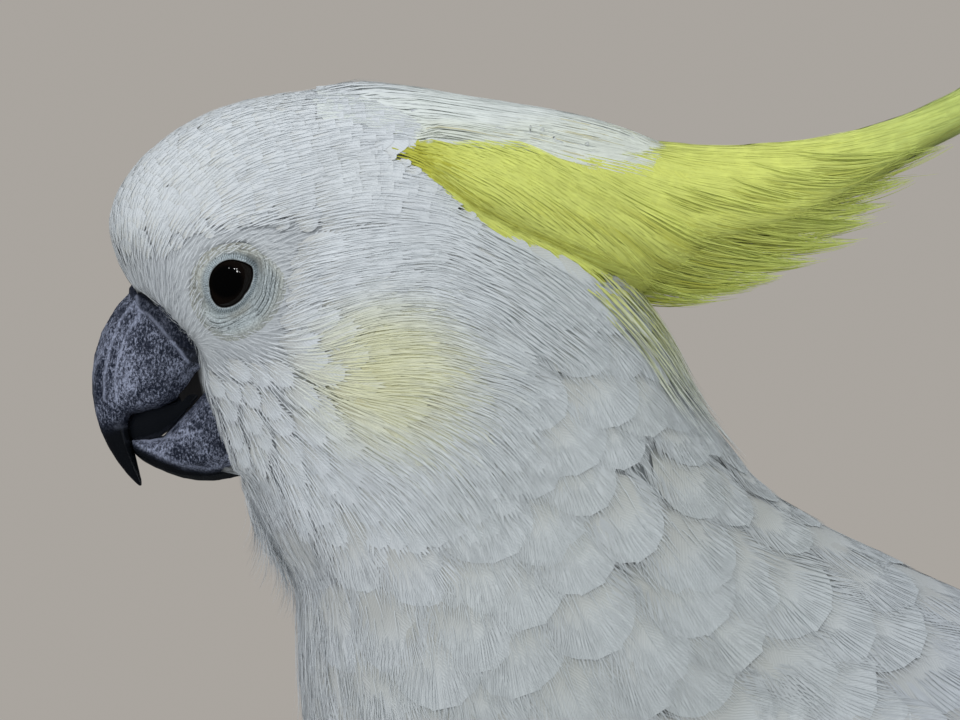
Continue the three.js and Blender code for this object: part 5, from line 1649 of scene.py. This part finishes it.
claw_horn, claw_tree, claw_shader = material_named("claw_horn", Roughness=0.3, Specular_IOR_Level=0.5)
CLAW_BLACK, CLAW_GREY = (0.006, 0.006, 0.007, 1), (0.06, 0.058, 0.06, 1)
claw_grain = noise(claw_tree, object_place(claw_tree), 700.0, 3.0)
link_to(claw_tree, claw_shader, Base_Color=colour_mix(claw_tree, claw_grain, CLAW_BLACK, CLAW_GREY))
for side in ("left", "right"):
    bones = [f"{part}_{side}" for part in ("shank", "toe_1", "toe_2", "toe_3", "toe_4")]
    lengths = [copy_of(node, "foot_" + node) for node in bones]
    for piece in lengths:
        finish_with(piece, "DISPLACE", strength=0.3 * MM, mid_level=0.0)
    foot = merged(lengths, "foot_" + side)
    rounded_off(foot, 0.8, 4)
    rows = places(foot.data)
    rows[:, 2] = np.maximum(rows[:, 2], 0)
    put(foot.data, rows)
    foot.data.materials.append(foot_skin)
    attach(foot, "root")
    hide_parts(*bones)
    hooks = [f"claw_{toe}_{side}" for toe in (1, 2, 3, 4)]
    claw = merged([copy_of(node, "horn_" + node) for node in hooks], "claws_" + side)
    rounded_off(claw, 0.35, 3)
    claw.data.materials.append(claw_horn)
    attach(claw, "root")
    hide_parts(*hooks)


# ---------------------------------------------------------------- stage and camera
# A pale floor that fades into the backdrop, soft light from above, and a long lens that
# looks level at the bird's left side.
bpy.ops.mesh.primitive_circle_add(vertices=96, radius=2.6, fill_type="NGON", location=(0, 0, -0.0005))
floor = bpy.context.object
floor.name = "studio_floor"
floor_paint, floor_tree, floor_shader = material_named("floor_paint", Roughness=0.85)
floor_where = object_place(floor_tree)
floor_far = wire(floor_tree, "ShaderNodeVectorMath", {"operation": "LENGTH"}, i0=floor_where).outputs["Value"]
floor_fade = ranged(floor_tree, floor_far, 0.9, 2.5, 1.0, 0.0)
floor_tone = ranged(floor_tree, noise(floor_tree, floor_where, 35.0, 4.0), 0.0, 1.0, 0.50, 0.54, "LINEAR")
floor_colour = wire(floor_tree, "ShaderNodeCombineColor", i0=floor_tone, i1=floor_tone, i2=floor_tone).outputs[0]
link_to(floor_tree, floor_shader, Base_Color=floor_colour, Alpha=floor_fade)
floor.data.materials.append(floor_paint)
floor.visible_glossy = False

world = bpy.data.worlds.new("studio")
bpy.context.scene.world = world
world.use_nodes = True
sky = world.node_tree
sky.nodes.clear()
ray, gloss_ray = (wire(sky, "ShaderNodeLightPath").outputs[label] for label in ("Is Camera Ray", "Is Glossy Ray"))
glow_power = maths(sky, "MULTIPLY_ADD", gloss_ray, -0.495, 0.52)  # kept faint in what the eyes reflect
glow = wire(sky, "ShaderNodeBackground", Color=(0.86, 0.93, 1.0, 1), Strength=glow_power)
backdrop = wire(sky, "ShaderNodeBackground", Color=(0.40, 0.375, 0.345, 1), Strength=1.0)
chosen = wire(sky, "ShaderNodeMixShader", i0=ray, i1=glow.outputs[0], i2=backdrop.outputs[0])
wire(sky, "ShaderNodeOutputWorld", Surface=chosen.outputs[0])


def lamp(name, place, target, size, power, colour):
    """A round soft lamp aimed at a target."""
    data = bpy.data.lights.new(name, "AREA")
    data.shape = "DISK"
    data.size = size
    data.energy = power
    data.color = colour
    made = placed(name, data)
    made.location = place
    made.rotation_euler = Vector(np.array(target) - np.array(place)).to_track_quat("-Z", "Y").to_euler()
    return made


HEAD = EYE * np.array([0, 1, 1]) + np.array([0, 0.04, 0])
for name, place, size, power, colour in (("overhead", (0.40, -0.45, 1.35), 1.1, 2.9, (1.0, 0.98, 0.95)),
                                         ("front_key", (0.65, -1.05, 0.42), 0.7, 2.4, (1.0, 0.99, 0.97)),
                                         ("side_fill", (1.5, -0.25, 0.85), 1.2, 3.3, (0.92, 0.96, 1.0)),
                                         ("back_rim", (-0.7, 0.9, 1.5), 0.9, 1.7, (1.0, 0.99, 0.97))):
    lamp(name, place, HEAD, size, power, colour).visible_glossy = False
# Small lamps that make only the glints in the eye.
for number, (aside, above, wide, power) in enumerate(((0, 0, 0.13, 1.6), (-0.16, 0.17, 0.07, 0.8),
                                                      (0.03, 0.22, 0.08, 0.8), (0.24, 0.02, 0.05, 0.3),
                                                      (-0.5, 0.16, 0.07, 0.25))):
    lamp(f"catch_light_{number}", EYE + 1.2 * np.array([0.743, 0.60 + aside, 0.643 + above]), EYE, wide, power,
         (1.0, 1.0, 1.0))

FRAME_MM = 215.7  # width of the view at the middle of the bird
FRAME_MIDDLE = (55.96, -17.3)  # back and up from the eye
LENS, SENSOR = 240.0, 36.0
view_data = bpy.data.cameras.new("profile_view")
view_data.lens = LENS
view_data.sensor_width = SENSOR
view_data.clip_end = 60.0
view_camera = placed("profile_view", view_data)
view_camera.location = (FRAME_MM * LENS / SENSOR * MM, EYE[1] + FRAME_MIDDLE[0] * MM, EYE[2] + FRAME_MIDDLE[1] * MM)
view_camera.rotation_euler = (math.pi / 2, 0, math.pi / 2)
bpy.context.scene.camera = view_camera
bpy.context.scene.view_settings.view_transform = "Standard"
